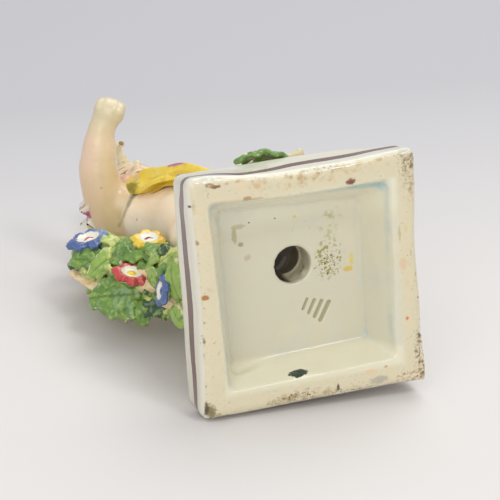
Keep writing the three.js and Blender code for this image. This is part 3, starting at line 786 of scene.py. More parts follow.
# Painted shadow: deep in the vent, everything but the lit side of its wall is painted near black.
painted_vent_shadow = finish.all_of(inside, finish.sum_of("SUBTRACT", 1, lit_vent_wall))
finish.paint(shade(56, 46, 30), painted_vent_shadow, 0.97)
finish.dull(0.9, inside)
ground = finish.all_of(finish.rise(to_face, 3, 5.5), finish.rise(finish.z, PLINTH_HEIGHT, 15.6))
ground = finish.all_of(ground, finish.sum_of("SUBTRACT", 1, inside))
finish.paint(shade(150, 168, 92), finish.all_of(ground, finish.effect(blotches, Size=6, Cover=0.6)), 0.9)
finish.paint(shade(88, 118, 58), finish.all_of(ground, finish.effect(blotches, Size=3.4, Cover=0.4)), 0.85)
finish.cover(plinth)
belongs(plinth)

# Body: a plump naked child striding forward, pressed in moulds and luted together, with the right
# arm stretched out in front, the left hand at the hip and the left foot forward. The flesh is the
# cream body under a thin peach wash, and the features are painted on with a fine brush.
HEAD = Vector((-9.4, 3.2, 109))
NECK = Vector((-9.3, 3.6, 98))
CHEST = Vector((-9.4, 3.2, 87))
WAIST = Vector((-7.6, 1.6, 75))
PELVIS = Vector((-5.4, 2, 60))
RIGHT_ARM = [Vector(at) for at in ((-20.6, 6.4, 93.6), (-24.2, -9.5, 94.6), (-22.8, -22, 93.4))]
RIGHT_FIST = Vector((-20.2, -26.5, 93))
LEFT_ARM = [Vector(at) for at in ((1.8, 4.4, 92.5), (10.2, 5.4, 78), (8, -5.4, 68.5))]
LEFT_FIST = Vector((5.2, -9.4, 67))
LEFT_LEG = [Vector(at) for at in ((0.4, 0.4, 57), (3.4, -7.6, 38), (3.4, -16.4, 21.6), (2.2, -28.2, 16.6))]
RIGHT_LEG = [Vector(at) for at in ((-10.6, 1.2, 57), (-13.4, -3.4, 42), (-12.4, 7, 28.6), (-14.6, -5, 25.4))]
CREASE = ((-16.2, -4.7, 87.2), (-17.6, -3.7, 86.6), (-19.1, -1.7, 85.9), (-20.5, 1, 86), (-21.7, 4.1, 87.6))
FINGERS = 4
TOES = 5


def along(points, place):
    """The point at "place" on a smooth line through the points, which are one unit apart."""
    index = min(int(place), len(points) - 2)
    near, far = points[index], points[index + 1]
    before = points[index - 1] if index else near * 2 - far
    after = points[index + 2] if index + 2 < len(points) else far * 2 - near
    t = place - index
    pull = (far - before) * t + (before * 2 - near * 5 + far * 4 - after) * t * t
    return (near * 2 + pull + (near * 3 - before - far * 3 + after) * t ** 3) / 2


def soft(t):
    return t * t * (3 - 2 * t)


def limb(stations, gap=1.3, flat=1.0, finer=1):
    """A roll of clay through stations of (point, half width, half depth), laid as a row of eggs."""
    points = [Vector(point) for point, *_ in stations]
    for number in range(len(stations) - 1):
        near, far = stations[number], stations[number + 1]
        count = max(2, round((points[number + 1] - points[number]).length / gap))
        for step in range(count + (number == len(stations) - 2)):
            t = step / count
            wide, deep = (near[k] + (far[k] - near[k]) * soft(t) for k in (1, 2))
            ahead = along(points, min(number + t + 0.02, len(points) - 1))
            behind = along(points, max(number + t - 0.02, 0))
            radii = (wide, deep, min(wide, deep) * flat)
            lump(along(points, number + t), radii, ahead - behind, finer)


def fist(centre, reach, across_hand, size):
    """A plump closed hand: a ball with four bent fingers round it side by side and a thumb."""
    ahead = Vector(reach).normalized()
    row = (Vector(across_hand) - ahead * ahead.dot(Vector(across_hand))).normalized()
    palm = ahead.cross(row)
    lump(centre, (0.94 * size, 0.94 * size, 1.04 * size), row)
    for number in range(FINGERS):
        middle_of_bend = centre + row * size * (number - 1.5) * 0.46
        bend = size * (0.76 - 0.12 * abs(number - 1.5))
        turns = [-1.1 + 0.45 * step for step in range(6)]
        curl = [middle_of_bend + (ahead * math.cos(turn) + palm * math.sin(turn)) * bend for turn in turns]
        limb([(point, 0.28 * size, 0.28 * size) for point in curl], gap=0.9)
    tip = centre + row * size * 0.72 + palm * size * 0.25
    thumb = (tip - ahead * size * 0.7, tip + ahead * size * 0.3)
    limb([(point, 0.29 * size, 0.29 * size) for point in thumb])


def foot(ankle, toes):
    """A bare foot from the ankle to the toes."""
    heel = toes.lerp(ankle, 1.12)
    heel.z = toes.lerp(ankle, 0.35).z
    ahead = (toes - ankle).normalized()
    row = Vector((toes.x - ankle.x, toes.y - ankle.y, 0)).normalized().cross(UP)
    instep = heel.lerp(toes, 0.45) + Vector((0, 0, 0.6))
    limb([(heel, 2.9, 2.6), (instep, 3.3, 2.8), (heel.lerp(toes, 0.84), 3.5, 2.1)])
    is_left = toes.x > -5
    for number in range(TOES):
        from_big_toe = number if is_left else TOES - 1 - number
        reach = 0.2 - 0.2 * from_big_toe
        size = 1.35 if from_big_toe == 0 else 1.15
        lump(toes + row * (number - 2) * 1.5 + ahead * reach, (size * 0.85, size * 0.8, size * 1.4), ahead)


limb(
    [
        (PELVIS + Vector((0.2, 0.3, -6)), 7.5, 7),
        (PELVIS, 11.6, 9.8),
        (PELVIS.lerp(WAIST, 0.5) + Vector((0, -1.4, 0)), 11.2, 10),
        (WAIST, 10.6, 9),
        (CHEST, 11.6, 8.6),
        (CHEST.lerp(NECK, 0.55), 10.4, 7),
        (NECK, 5, 4.8),
        (NECK.lerp(HEAD, 0.55), 4.6, 4.6),
    ],
    gap=1,
    flat=0.7,
    finer=2,
)
for side_way in (-1, 1):
    lump(PELVIS + Vector((5.1 * side_way, 5.2, -1.5)), (6, 5.6, 6), finer=2)
    lump(CHEST + Vector((5 * side_way, -4.5, 1)), (4.6, 3.8, 4))
    lump(CHEST + Vector((5.2 * side_way, 6.8, 4)), (4.4, 2.6, 5.4))
lump(CHEST.lerp(WAIST, 0.6) + Vector((1.6, -3.4, 0)), (8, 7, 7.4), finer=2)
for arm, hand, widths in (
    (RIGHT_ARM, RIGHT_FIST, (6.2, 6, 5.4, 4.8, 3.85)),
    (LEFT_ARM, LEFT_FIST, (6, 5.6, 5, 4.55, 3.6)),
):
    shoulder, elbow, wrist = arm
    lump(shoulder, (6.6, 6.5, 6.3), finer=2)
    bend = Vector((-0.4, 0, 0)) if hand is RIGHT_FIST else Vector()
    points = (shoulder, shoulder.lerp(elbow, 0.5) + bend, elbow, elbow.lerp(wrist, 0.45) + bend / 2, wrist)
    limb([(point, width, width) for point, width in zip(points, widths)])
    limb([(wrist, widths[-1], widths[-1]), (hand.lerp(wrist, 0.2), 3.7, 3.7)])
lump((-19, -1, 91.8), (4.6, 5.6, 4.6), finer=2)
fist(RIGHT_FIST, (0.3, -1, -0.1), (-1, -0.95, 0.5), 4.5)
fist(LEFT_FIST, (-0.6, -0.8, -0.1), (0, 0.2, 1), 4)
for hip, knee, ankle, toes in (LEFT_LEG, RIGHT_LEG):
    limb(
        [
            (hip, 7.4, 7.6),
            (hip.lerp(knee, 0.45), 7.2, 7.4),
            (knee, 5.2, 5.4),
            (knee.lerp(ankle, 0.4), 5, 5.4),
            (knee.lerp(ankle, 0.8), 3.8, 4),
            (ankle, 3.4, 3.6),
        ]
    )
    foot(ankle, toes)
lump(HEAD + Vector((0, 1, 1.6)), (8.9, 9.4, 9.6), finer=2)
lump(HEAD + Vector((0, -1.4, -4)), (7.3, 7.2, 6.4), finer=2)
lump(HEAD + Vector((0, -4.6, 3)), (6.6, 4.2, 4.4))
lump(HEAD + Vector((0, -6.6, -8)), (2.3, 2, 1.8))
limb([(HEAD + Vector((0, -8.1, 0.6)), 0.8, 0.8), (HEAD + Vector((0, -9.2, -2)), 1.15, 1.1)], gap=0.6)
lump(HEAD + Vector((0, -8.2, -4.75)), (1.9, 0.9, 0.5))
lump(HEAD + Vector((0, -8, -5.75)), (1.5, 0.95, 0.55))
for side_way in (-1, 1):
    lump(HEAD + Vector((0.85 * side_way, -8.7, -2.4)), (0.7, 0.8, 0.6))
    lump(HEAD + Vector((4.1 * side_way, -5, -3.8)), (3.3, 3.1, 3.1))
    ear = ((8.3, 0.2, 0.8, 1), (9.1, 1.4, -0.2, 1.2), (8.4, 0.8, -2.8, 0.9))
    limb([(HEAD + Vector((x * side_way, y, z)), 0.7, deep) for x, y, z, deep in ear], gap=0.8)
body = press_together("body", 0.42, 5)
even = (evened(body, 90) - np.array(middle)) / MM


def ease_trunk(places, normals):
    """Wipes the joints of the trunk and the hips smooth, but not the hand at the hip."""
    x, y, z = places.T
    from_left, from_right = (np.linalg.norm(places - np.array(hand), axis=1) for hand in (LEFT_FIST, RIGHT_FIST))
    share = smooth_rise(z, 48, 58) * smooth_rise(z, 90, 80) * smooth_rise(from_left, 5, 9)
    share = np.maximum(share, 0.42 * smooth_rise(from_right, 10, 6))
    from_armpit = np.linalg.norm(places - np.array((-18.6, -3, 91)), axis=1)
    share = np.maximum(share, 0.8 * smooth_rise(from_armpit, 8, 4))
    over_back = smooth_rise(y, 4, 8) * smooth_rise(z, 48, 58) * smooth_rise(z, 104, 97)
    share = np.maximum(share, 0.8 * over_back * smooth_rise(from_left, 5, 9))
    return (even - places) * share[:, None]


sculpt(body, ease_trunk)


def shape_body(places, normals):
    """Eye sockets with their balls, the navel and the backbone's furrow."""
    move = np.zeros_like(places)
    x, y, z = (places - np.array(HEAD)).T
    for side_way in (-1, 1):
        away = np.sqrt(((x - 3.2 * side_way) / 2.4) ** 2 + ((z - 0.4) / 1.7) ** 2)
        socket = smooth_rise(away, 1, 0) * (y < -3)
        ball = smooth_rise(np.sqrt(((x - 3.2 * side_way) / 1.5) ** 2 + ((z - 0.3) / 0.95) ** 2), 1, 0.2)
        move[:, 1] += 1.1 * socket - 0.65 * ball * (y < -3)
    away = np.linalg.norm(places - np.array((-5.6, -9.4, 66.5)), axis=1)
    move -= normals * (0.9 * smooth_rise(away, 1.7, 0.3))[:, None]
    x, y, z = places.T
    furrow = np.exp(-(((x + 7.6) / 1.3) ** 2)) * smooth_rise(y, 6, 9) * smooth_rise(z, 62, 70) * (z < 96)
    move[:, 1] -= 0.7 * furrow
    return move


sculpt(body, shape_body)
mark_hollows(body)

finish = Finish("painted_flesh", shade(234, 210, 172))
finish.shader.inputs["Coat Roughness"].default_value = 0.22
finish.roughness = 0.32
hollow = finish.attribute("hollow")
streaks = finish.effect(blotches, Point=finish.stretched(1, 0.22, 1), Size=3, Cover=0.5, Softness=0.4)
finish.paint(shade(226, 192, 166), finish.effect(blotches, Size=14, Cover=0.5, Softness=0.3), 0.6)
finish.paint(shade(226, 202, 150), streaks, 0.4)
finish.paint(shade(236, 200, 178), finish.all_of(finish.rise(finish.x, -24, -28), finish.rise(finish.z, 80, 86)), 0.6)
shaded_arm = finish.all_of(finish.rise(finish.y, -16, -4), finish.rise(finish.z, 85, 88), finish.rise(finish.x, -13, -17))
finish.paint(shade(210, 182, 134), shaded_arm, 0.6)
# Painted highlight: the fist and the end of the forearm are painted a duller, creamier flesh that stands in for the
# cream highlights on the fist.
finish.paint(shade(216, 206, 170), finish.rise(finish.y, -20, -26), 0.7)
# Painted light: the flank is painted lighter, most of all close under the arm, where the arm shades it.
flank = finish.all_of(finish.rise(finish.z, 87.5, 84), finish.rise(finish.x, -8, -14), finish.rise(finish.y, 12, 4))
finish.paint(shade(246, 224, 194), flank, 0.6)
finish.paint(shade(255, 238, 212), finish.all_of(flank, finish.rise(finish.x, -16, -19.5)), 0.85)
pink_streaks = finish.effect(blotches, Point=finish.stretched(1, 1, 0.25), Size=2.2, Cover=0.45, Softness=0.4)
finish.paint(shade(240, 196, 176), finish.all_of(flank, pink_streaks), 0.5)
finish.paint(shade(196, 176, 120), finish.rise(hollow, 0.12, 0.55), 0.6)
finish.paint(shade(112, 122, 84), finish.rise(hollow, 0.5, 1.1), 0.8)


def on_face(x, y, z):
    return tuple(HEAD + Vector((x, y, z)))


TOUCHES = (
    # middle, size, colour, amount: cheeks, lips, brows, lids, eyes, then specks on the arm and flank
    (on_face(-4.4, -8, -4), (2.6, 3, 2.2), shade(226, 142, 116), 0.5),
    (on_face(4.4, -8, -4), (2.6, 3, 2.2), shade(226, 142, 116), 0.5),
    (on_face(0, -9, -5.25), (1.9, 2, 0.75), shade(204, 92, 76), 0.85),
    (on_face(-3.3, -8, 2.6), (1.9, 3, 0.3), shade(136, 104, 72), 0.75),
    (on_face(3.3, -8, 2.6), (1.9, 3, 0.3), shade(136, 104, 72), 0.75),
    (on_face(-3.2, -8, 1.1), (1.5, 3, 0.25), shade(120, 80, 56), 0.8),
    (on_face(3.2, -8, 1.1), (1.5, 3, 0.25), shade(120, 80, 56), 0.8),
    (on_face(-3.2, -8, 0.35), (0.62, 3, 0.62), shade(74, 56, 44), 0.9),
    (on_face(3.2, -8, 0.35), (0.62, 3, 0.62), shade(74, 56, 44), 0.9),
    ((-25.4, -6.9, 88.6), (0.7, 0.7, 1), shade(184, 152, 110), 0.6),
    ((-18.9, 0.6, 79.5), (0.5, 0.5, 0.5), shade(170, 130, 96), 0.6),
)
for centre, size, colour, amount in TOUCHES:
    finish.paint(colour, finish.effect(spot, Centre=centre, Size=size, Ragged=0.06, Softness=0.4), amount)

# A dark olive line is painted down the crease under the right arm, widest and darkest at the armpit
places = (points_of(body) - np.array(middle)) / MM
crease_line = np.zeros(len(places))
for number, (start, end) in enumerate(zip(CREASE, CREASE[1:])):
    width = 1.3 - 0.2 * number
    crease_line = np.maximum(crease_line, smooth_rise(to_stroke(places, start, end), width, 0.2 * width) * (1 - 0.2 * number))
keep_value(body, "crease_line", crease_line)
finish.paint(shade(90, 106, 78), finish.attribute("crease_line"), 0.85)
finish.cover(body)
belongs(body)

# Hair: short tousled curls pressed on over the skull, with one curl standing up over the brow,
# left in cream and touched with fawn and brown strokes.
lump(HEAD + Vector((0, 2.6, 2.8)), (9.3, 9, 9.6), finer=2)
ROWS = 7
for row in range(ROWS):
    height = math.radians(84 - row * 17)
    curls = max(4, round(13 * math.cos(height)))
    for number in range(curls):
        turn = math.tau * (number + 0.5 * (row % 2)) / curls
        out = Vector((math.sin(turn) * math.cos(height), math.cos(turn) * math.cos(height), math.sin(height)))
        is_over_face = out.y < -0.35 and out.z < 0.42
        if is_over_face or out.z < -0.45:
            continue
        root = HEAD + Vector((0, 2.4, 2.6)) + Vector((out.x * 9.2, out.y * 8.8, out.z * 9.4))
        swirl = out.cross(UP).normalized() * (1.1 if number % 2 else -1.1)
        down = (UP - out * out.z).normalized() if abs(out.z) < 0.95 else Vector((1, 0, 0))
        limb(
            [
                (root + down * 1.5, 1.3, 1.3),
                (root + swirl + out * 0.5, 1.5, 1.5),
                (root - down * 1.6 + swirl * 0.4, 1.1, 1.1),
            ],
            gap=1.1,
        )
brow = HEAD + Vector((-0.6, -5.6, 7.4))
limb(
    [
        (brow, 2.6, 2.2),
        (brow + Vector((-0.5, -3, 0.4)), 1.8, 1.6),
        (brow + Vector((-1.4, -5.8, 0.6)), 1.2, 1.1),
        (brow + Vector((-2.2, -8, -0.2)), 1.45, 1.35),
        (brow + Vector((-1, -8.6, -1.4)), 0.9, 0.9),
    ]
)
limb([(brow + Vector((2, 0.4, 0)), 1.8, 1.6), (brow + Vector((3.4, -2, -0.2)), 1.2, 1.1)])
limb([(brow + Vector((-2.6, 0.4, 0)), 1.8, 1.6), (brow + Vector((-4.4, -2.4, -1.4)), 1.2, 1.1)])
hair = press_together("hair", 0.4, 2)
mark_hollows(hair)
finish = Finish("painted_hair", shade(232, 220, 184))
strands = finish.effect(blotches, Point=finish.stretched(1, 1, 0.35), Size=0.8, Cover=0.4, Softness=0.12)
finish.paint(shade(194, 162, 106), strands, 0.6)
finish.paint(shade(140, 112, 66), finish.rise(finish.attribute("hollow"), 0.15, 0.6), 0.7)
curl_tip = finish.effect(spot, Centre=tuple(brow + Vector((-1.2, -9, -1.6))), Size=(0.9, 0.9, 0.9), Ragged=0.1)
finish.paint(shade(150, 120, 70), curl_tip)
finish.cover(hair)
belongs(hair)

# Sash: a strip of cloth laid over the right shoulder, drawn across the front to the left hip, round
# the back and down to the ground, rolled out of clay and pressed on. It is cream with scattered
# sprigs outside, and its turned-back lower edge shows the yellow lining.


def ribbon(name, stations, thickness, pleats=2, wrap=0, gathers=0.0):
    """A pleated strip through stations of (point, outward direction, half width), closed all round."""
    points = [Vector(point) for point, _, _ in stations]
    outward = [Vector(out) for _, out, _ in stations]
    halves = [Vector((half, 0, 0)) for _, _, half in stations]
    deselect()
    bpy.ops.mesh.primitive_grid_add(x_subdivisions=44, y_subdivisions=160, size=2)
    strip = bpy.context.object
    strip.name = name
    for point in strip.data.vertices:
        t, u = point.co.x, (point.co.y + 1) / 2
        place = u * (len(stations) - 1)
        ahead = along(points, min(place + 0.02, len(points) - 1)) - along(points, max(place - 0.02, 0))
        ahead.normalize()
        out = along(outward, place)
        out = (out - ahead * ahead.dot(out)).normalized()
        half = along(halves, place).x
        swell = math.cos(math.pi * pleats * (t + 0.15 * math.sin(5 * u)))
        crease = math.cos(math.pi * pleats * 2.1 * t + 9 * u) * (1 - abs(t))
        gather = math.sin(46 * u + 4 * t) * soft(max(0, min(1, 0.5 + t)))
        lift = thickness * (0.4 + 0.15 * swell + 0.04 * crease + gathers * gather) * (1 - 0.5 * t ** 4)
        if wrap:
            lift -= (t * half) ** 2 / (2 * wrap) * (t > 0)
        wander = 1 + 0.05 * math.sin(23 * u) + gathers * math.sin(31 * u)
        point.co = here(*(along(points, place) + ahead.cross(out) * t * half * wander + out * lift))
    apply_modifier(strip, "SOLIDIFY", thickness=thickness * 0.45 * MM, offset=-1)
    apply_modifier(strip, "BEVEL", width=0.35 * MM, segments=2, limit_method="ANGLE", angle_limit=0.9)
    bpy.ops.object.shade_smooth()
    mark_hollows(strip, 6)
    return strip


RIGHT_SHOULDER = RIGHT_ARM[0]
front_sash = ribbon(
    "front_sash",
    [
        (RIGHT_SHOULDER + Vector((-6.2, -6, -1.5)), (-1, 0, -0.2), 4.2),
        (RIGHT_SHOULDER + Vector((-4.9, -6.8, 4.6)), (-0.8, 0, 0.6), 5),
        (RIGHT_SHOULDER + Vector((0, -4.6, 7)), (0, -0.1, 1), 5),
        (CHEST + Vector((-5.4, -6.6, 8)), (-0.1, -0.7, 0.7), 5.2),
        (CHEST + Vector((-2.8, -10, 0.4)), (-0.2, -1, 0.1), 5.3),
        (WAIST + Vector((2.2, -11.5, 1)), (0, -1, 0), 3.2),
        (PELVIS + Vector((8, -10, 7)), (0.5, -1, 0), 5),
        (PELVIS + Vector((13.4, -2, 4)), (1, -0.3, 0), 4.4),
    ],
    thickness=6.6,
    wrap=5,
    gathers=0.09,
)
back_sash = ribbon(
    "back_sash",
    [
        (RIGHT_SHOULDER + Vector((-4, -2, 6)), (-0.6, 0.2, 1), 4.4),
        (CHEST + Vector((-7.6, 8.8, 3)), (-0.4, 1, 0.3), 5),
        (WAIST + Vector((1, 10, 1)), (0, 1, 0), 5.4),
        (PELVIS + Vector((10, 7, 5)), (0.7, 1, 0), 5),
        (PELVIS + Vector((13.4, -1, 3)), (1, 0, 0), 4.4),
    ],
    thickness=3,
)
sash_tail = ribbon(
    "sash_tail",
    [
        (PELVIS + Vector((13, -1, 5)), (1, 0, 0), 4),
        (PELVIS + Vector((14.4, 0.4, -8)), (1, -0.2, 0), 5.4),
        (PELVIS + Vector((16, 2.6, -26)), (1, -0.2, 0), 6.6),
        (PELVIS + Vector((17.6, 5, -43.4)), (1, -0.2, 0.1), 8),
    ],
    thickness=5.4,
    pleats=3,
    gathers=0.03,
)

SPRIG_COLOURS = (
    shade(96, 140, 70),
    shade(222, 132, 104),
    shade(150, 60, 120),
    shade(96, 60, 96),
    shade(226, 180, 60),
    shade(120, 150, 80),
)


def sprigs(finish, size, share):
    """Scattered dabs of enamel, each cell of them in a colour of its own."""
    cells = add(finish.tree, "TexVoronoi", Vector=finish.point, Scale=1 / size, Randomness=0.9)
    edge = finish.sum_of("MULTIPLY", finish.effect(blotches, Size=0.8, Cover=0.5, Softness=0.5), 0.25)
    dab = finish.rise(finish.sum_of("ADD", cells.outputs["Distance"], edge), share + 0.06, share)
    pick, chance, _ = add(finish.tree, "SeparateColor", Color=cells.outputs["Color"]).outputs
    dab = finish.all_of(dab, finish.rise(chance, 0.56, 0.6))
    chart = add(finish.tree, "ValToRGB", Fac=pick)
    chart.color_ramp.interpolation = "CONSTANT"
    for number, colour in enumerate(SPRIG_COLOURS):
        stops = chart.color_ramp.elements
        stop = stops[number] if number < 2 else stops.new(number / len(SPRIG_COLOURS))
        stop.position, stop.color = number / len(SPRIG_COLOURS), colour
    finish.paint(chart.outputs["Color"], dab, 0.9)


def cloth_finish(name, lining_from, lining_after=0.0):
    """Cream cloth with sprigs; the lining shows past a share of the width and of the length."""
    finish = Finish(name, shade(232, 226, 206))
    sprigs(finish, 2.1, 0.46)
    place = add(finish.tree, "UVMap").outputs["UV"]
    across_strip, along_strip, _ = add(finish.tree, "SeparateXYZ", Vector=place).outputs
    hollow = finish.attribute("hollow")
    waver = finish.sum_of("MULTIPLY", finish.effect(blotches, Size=5, Cover=0.5, Softness=0.6), 0.16)
    lining = finish.rise(finish.sum_of("ADD", across_strip, waver), lining_from + 0.07, lining_from + 0.1)
    lining = finish.all_of(lining, finish.rise(along_strip, lining_after, lining_after + 0.02))
    finish.paint(shade(238, 210, 80), lining)
    finish.paint(shade(220, 172, 44), finish.all_of(lining, finish.effect(blotches, Size=2.4, Cover=0.44, Softness=0.2)), 0.7)
    finish.paint(shade(240, 230, 150), finish.all_of(lining, finish.effect(blotches, Size=4, Cover=0.42, Softness=0.3)), 0.7)
    finish.paint(shade(150, 128, 40), finish.all_of(lining, finish.rise(hollow, 0.05, 0.4)), 0.7)
    outside = finish.sum_of("SUBTRACT", 1, lining)
    hem_from = finish.rise(across_strip, lining_from - 0.06, lining_from - 0.03)
    hem = finish.all_of(hem_from, finish.rise(across_strip, lining_from + 0.1, lining_from + 0.07), outside)
    dashes = finish.effect(blotches, Size=3, Cover=0.5, Softness=0.05)
    finish.paint(shade(178, 84, 150), finish.all_of(hem, dashes), 0.8)
    # Dabs at set places: first an olive painted shadow in the hollow between the right arm, the cloth and the chest,
    # then an orange spot, then green, coral, pink, purple and yellow sprigs on the end of the cloth by the upper arm.
    for centre, size, colour, amount, softness in (
        ((-16.8, -5.8, 88.6), (3, 3, 4.4), shade(128, 122, 38), 0.9, 0.7),
        ((-14.3, -9.7, 79.7), (1, 1, 1), shade(204, 138, 40), 0.7, 0.7),
        ((-28.8, -2.4, 95.6), (2.6, 1.5, 2.6), shade(110, 146, 66), 0.9, 0.2),
        ((-29.1, -0.5, 94.6), (1.8, 0.8, 1.6), shade(222, 134, 108), 0.85, 0.2),
        ((-29, 0.9, 92.8), (1.6, 0.9, 1.6), shade(168, 84, 140), 0.85, 0.3),
        ((-28.4, 3.5, 96.4), (2.4, 1.4, 2.4), shade(116, 62, 104), 0.85, 0.3),
        ((-27.3, 5.7, 96), (1.3, 1, 1.4), shade(222, 196, 96), 0.85, 0.2),
    ):
        mask = finish.effect(spot, Centre=centre, Size=size, Ragged=0.25, Softness=softness)
        finish.paint(colour, mask, amount)
    return finish


places = (points_of(front_sash) - np.array(middle)) / MM
drawn = smooth_rise(to_stroke(places, (-8.7, -12.9, 79.7), (-6.2, -14, 76.4)), 0.6, 0.35)
keep_value(front_sash, "drawn", drawn)
finish = cloth_finish("front_cloth", 0.32, 0.34)
finish.paint(shade(170, 84, 146), finish.attribute("drawn"), 0.85)
finish.cover(front_sash)
cloth_finish("back_cloth", 0.9).cover(back_sash)
cloth_finish("tail_cloth", 0.86).cover(sash_tail)
for strip in (front_sash, back_sash, sash_tail):
    belongs(strip)

# Stump: a slanting tree trunk that props the figure from behind, modelled by hand with deep bark
# and two broken side shoots, tan with brown in the furrows, and a mass of foliage pressed on it.
STUMP_FOOT, STUMP_KNEE, STUMP_CROWN = Vector((-15, 9.5, 12)), Vector((-20.6, 8, 38)), Vector((-33.6, 10.4, 80))
STUMP_GIRTH, STUMP_TIP = 7.4, 4.2
STUMP_BOTTOM = STUMP_FOOT + Vector((0, 0, 8))

limb(
    [
        (STUMP_BOTTOM, STUMP_GIRTH + 1.1, STUMP_GIRTH + 0.6),
        (STUMP_KNEE, STUMP_GIRTH - 1.2, STUMP_GIRTH - 1.6),
        (STUMP_KNEE.lerp(STUMP_CROWN, 0.55) + Vector((0, 0.8, 0)), STUMP_GIRTH - 2.2, STUMP_GIRTH - 2.4),
        (STUMP_CROWN, STUMP_TIP, STUMP_TIP),
    ]
)
for shoot in (((-40.1, 9.6, 71.2), (-35.4, 12.4, 60.4)), ((-37.6, 8.9, 69.4), (-33.8, 11.7, 59)), ((-34.6, 7, 69), (-31, 11, 60))):
    near, far = Vector(shoot[0]), Vector(shoot[1])
    limb([(near, 0.85, 1.3), (near.lerp(far, 0.5) + Vector((0, 0.3, 0)), 1.05, 1.4), (far, 1.2, 1.4)], gap=0.8)
stump = press_together("stump", 0.45, 2)


def shape_bark(places, normals):
    """Long furrows down the trunk, with knots."""
    turn = np.arctan2(normals[:, 1], normals[:, 0])
    furrows = np.cos(7 * turn + places[:, 2] * 0.06 + 2 * ripple(places, 12)) * smooth_rise(places[:, 0], -36, -33)
    knots = ripple(places * np.array((1, 1, 0.3)), 1.6, 4)
    return normals * (0.5 * furrows + 0.25 * knots)[:, None]


sculpt(stump, shape_bark)
mark_hollows(stump)
finish = Finish("painted_bark", shade(242, 218, 172))
grain = finish.effect(blotches, Point=finish.stretched(1, 1, 0.2), Size=1.4, Cover=0.5)
finish.paint(shade(216, 178, 124), grain, 0.55)
finish.paint(shade(232, 222, 190), finish.effect(blotches, Size=2, Cover=0.3, Softness=0.15), 0.7)
finish.paint(shade(88, 66, 40), finish.rise(finish.attribute("hollow"), 0.08, 0.4), 0.85)
finish.paint(shade(90, 122, 58), finish.effect(blotches, Size=5, Cover=0.3, Softness=0.1), 0.8)
finish.cover(stump)
belongs(stump)

CLUMPS = (0.12, 0.34, 0.56, 0.76, 0.95)
CLUMP_SIZE = Vector((6.4, 5.6, 8))
clump_middles = []
for number, share in enumerate(CLUMPS):
    sway_out = Vector((0.6, -1.6 if number % 2 else -2.4, 0))
    clump_middles.append(STUMP_KNEE.lerp(STUMP_CROWN, share) + sway_out)
    lump(clump_middles[-1], CLUMP_SIZE - Vector((0.6, 0.6, 0.6)))
foliage = press_together("foliage", 0.5, 2)


def shape_foliage(places, normals):
    """Small pinched leaf edges all over the mass."""
    tufts = np.abs(ripple(places, 3.2, 2)) * 2 - 0.5
    return normals * (0.9 * tufts + 0.4 * ripple(places, 1.2, 6))[:, None]


sculpt(foliage, shape_foliage)
mark_hollows(foliage)
GREENS = (shade(104, 142, 62), shade(146, 176, 82), shade(196, 204, 116), shade(44, 78, 34))
PALE_CLAY = shade(226, 216, 180)


def green_enamel(name, ground):
    """Green in uneven washes, from yellow-green to dark where it runs thick."""
    finish = Finish(name, ground)
    strokes = finish.stretched(0.4, 1, 1)
    finish.paint(GREENS[3], finish.effect(blotches, Point=strokes, Size=3.4, Cover=0.5, Softness=0.25), 0.65)
    finish.paint(GREENS[1], finish.effect(blotches, Point=strokes, Size=1.7, Cover=0.5, Softness=0.15), 0.8)
    finish.paint(GREENS[2], finish.effect(blotches, Point=strokes, Size=0.9, Cover=0.36, Softness=0.15), 0.45)
    finish.paint(GREENS[3], finish.effect(blotches, Size=2.4, Cover=0.4, Softness=0.3), 0.75)
    finish.paint(shade(38, 56, 26), finish.rise(finish.attribute("hollow"), 0.04, 0.3), 0.85)
    return finish


finish = green_enamel("green_foliage", GREENS[0])
finish.paint(PALE_CLAY, finish.effect(blotches, Size=2.4, Cover=0.2, Softness=0.1), 0.8)
finish.cover(foliage)
belongs(foliage)

# Leaves: cut from slips of clay, lobed, ruffled and veined, pressed on over the foliage and the
# front of the base. Each is painted green with the clay left bare along parts of its edge.


def leaf(name, root, tip, facing, width, sag=0.16, thickness=1.2):
    """A lobed leaf from root to tip, arched, with a midrib, side veins and a ruffled edge."""
    root, tip, facing = Vector(root), Vector(tip), Vector(facing)
    length = (tip - root).length
    ahead = (tip - root).normalized()
    face = (facing - ahead * ahead.dot(facing)).normalized()
    sideways = face.cross(ahead)
    phase = (root.x * 7.3 + root.z * 3.1) % math.tau
    lobes = 2 + length / 4

    def half_at(u):
        notch = 1 + 0.07 * math.cos(math.tau * lobes * u + phase) + 0.03 * math.cos(math.tau * 2.7 * lobes * u)
        return width / 2 * math.sin(math.pi * (0.03 + 0.94 * u) ** 0.8) ** 0.55 * notch

    deselect()
    bpy.ops.mesh.primitive_grid_add(x_subdivisions=16, y_subdivisions=28, size=2)
    blade = bpy.context.object
    blade.name = name
    for point in blade.data.vertices:
        t, u = point.co.x, (point.co.y + 1) / 2
        half = half_at(u)
        vein = math.cos(math.tau * length / 2 * (u - 0.2 * abs(t)) + phase)
        ruffle = 0.1 * width * math.sin(math.tau * lobes * 0.6 * u + 2 * phase + 1.2 * t) * t * t
        lift = length * sag * math.sin(math.pi * u) - abs(t) ** 1.5 * half * 0.25 + 0.24 * vein * (1 - t * t)
        lift += ruffle - 0.4 * math.exp(-((t / 0.12) ** 2))
        point.co = here(*(root + ahead * u * length + sideways * t * half + face * lift))
    apply_modifier(blade, "SOLIDIFY", thickness=thickness * MM, offset=-1)
    skin_over(blade, 0.34, 4)
    sculpt(blade, lambda places, normals: normals * (0.16 * ripple(places, 1.3, phase))[:, None])
    places = (points_of(blade) - np.array(middle)) / MM - np.array(root)
    side_share = np.abs(places @ np.array(sideways))
    halves = np.array([half_at(min(1, max(0, u))) for u in places @ np.array(ahead) / length])
    keep_value(blade, "rim", side_share / np.maximum(halves, 0.3))
    mark_hollows(blade, 8)
    return blade


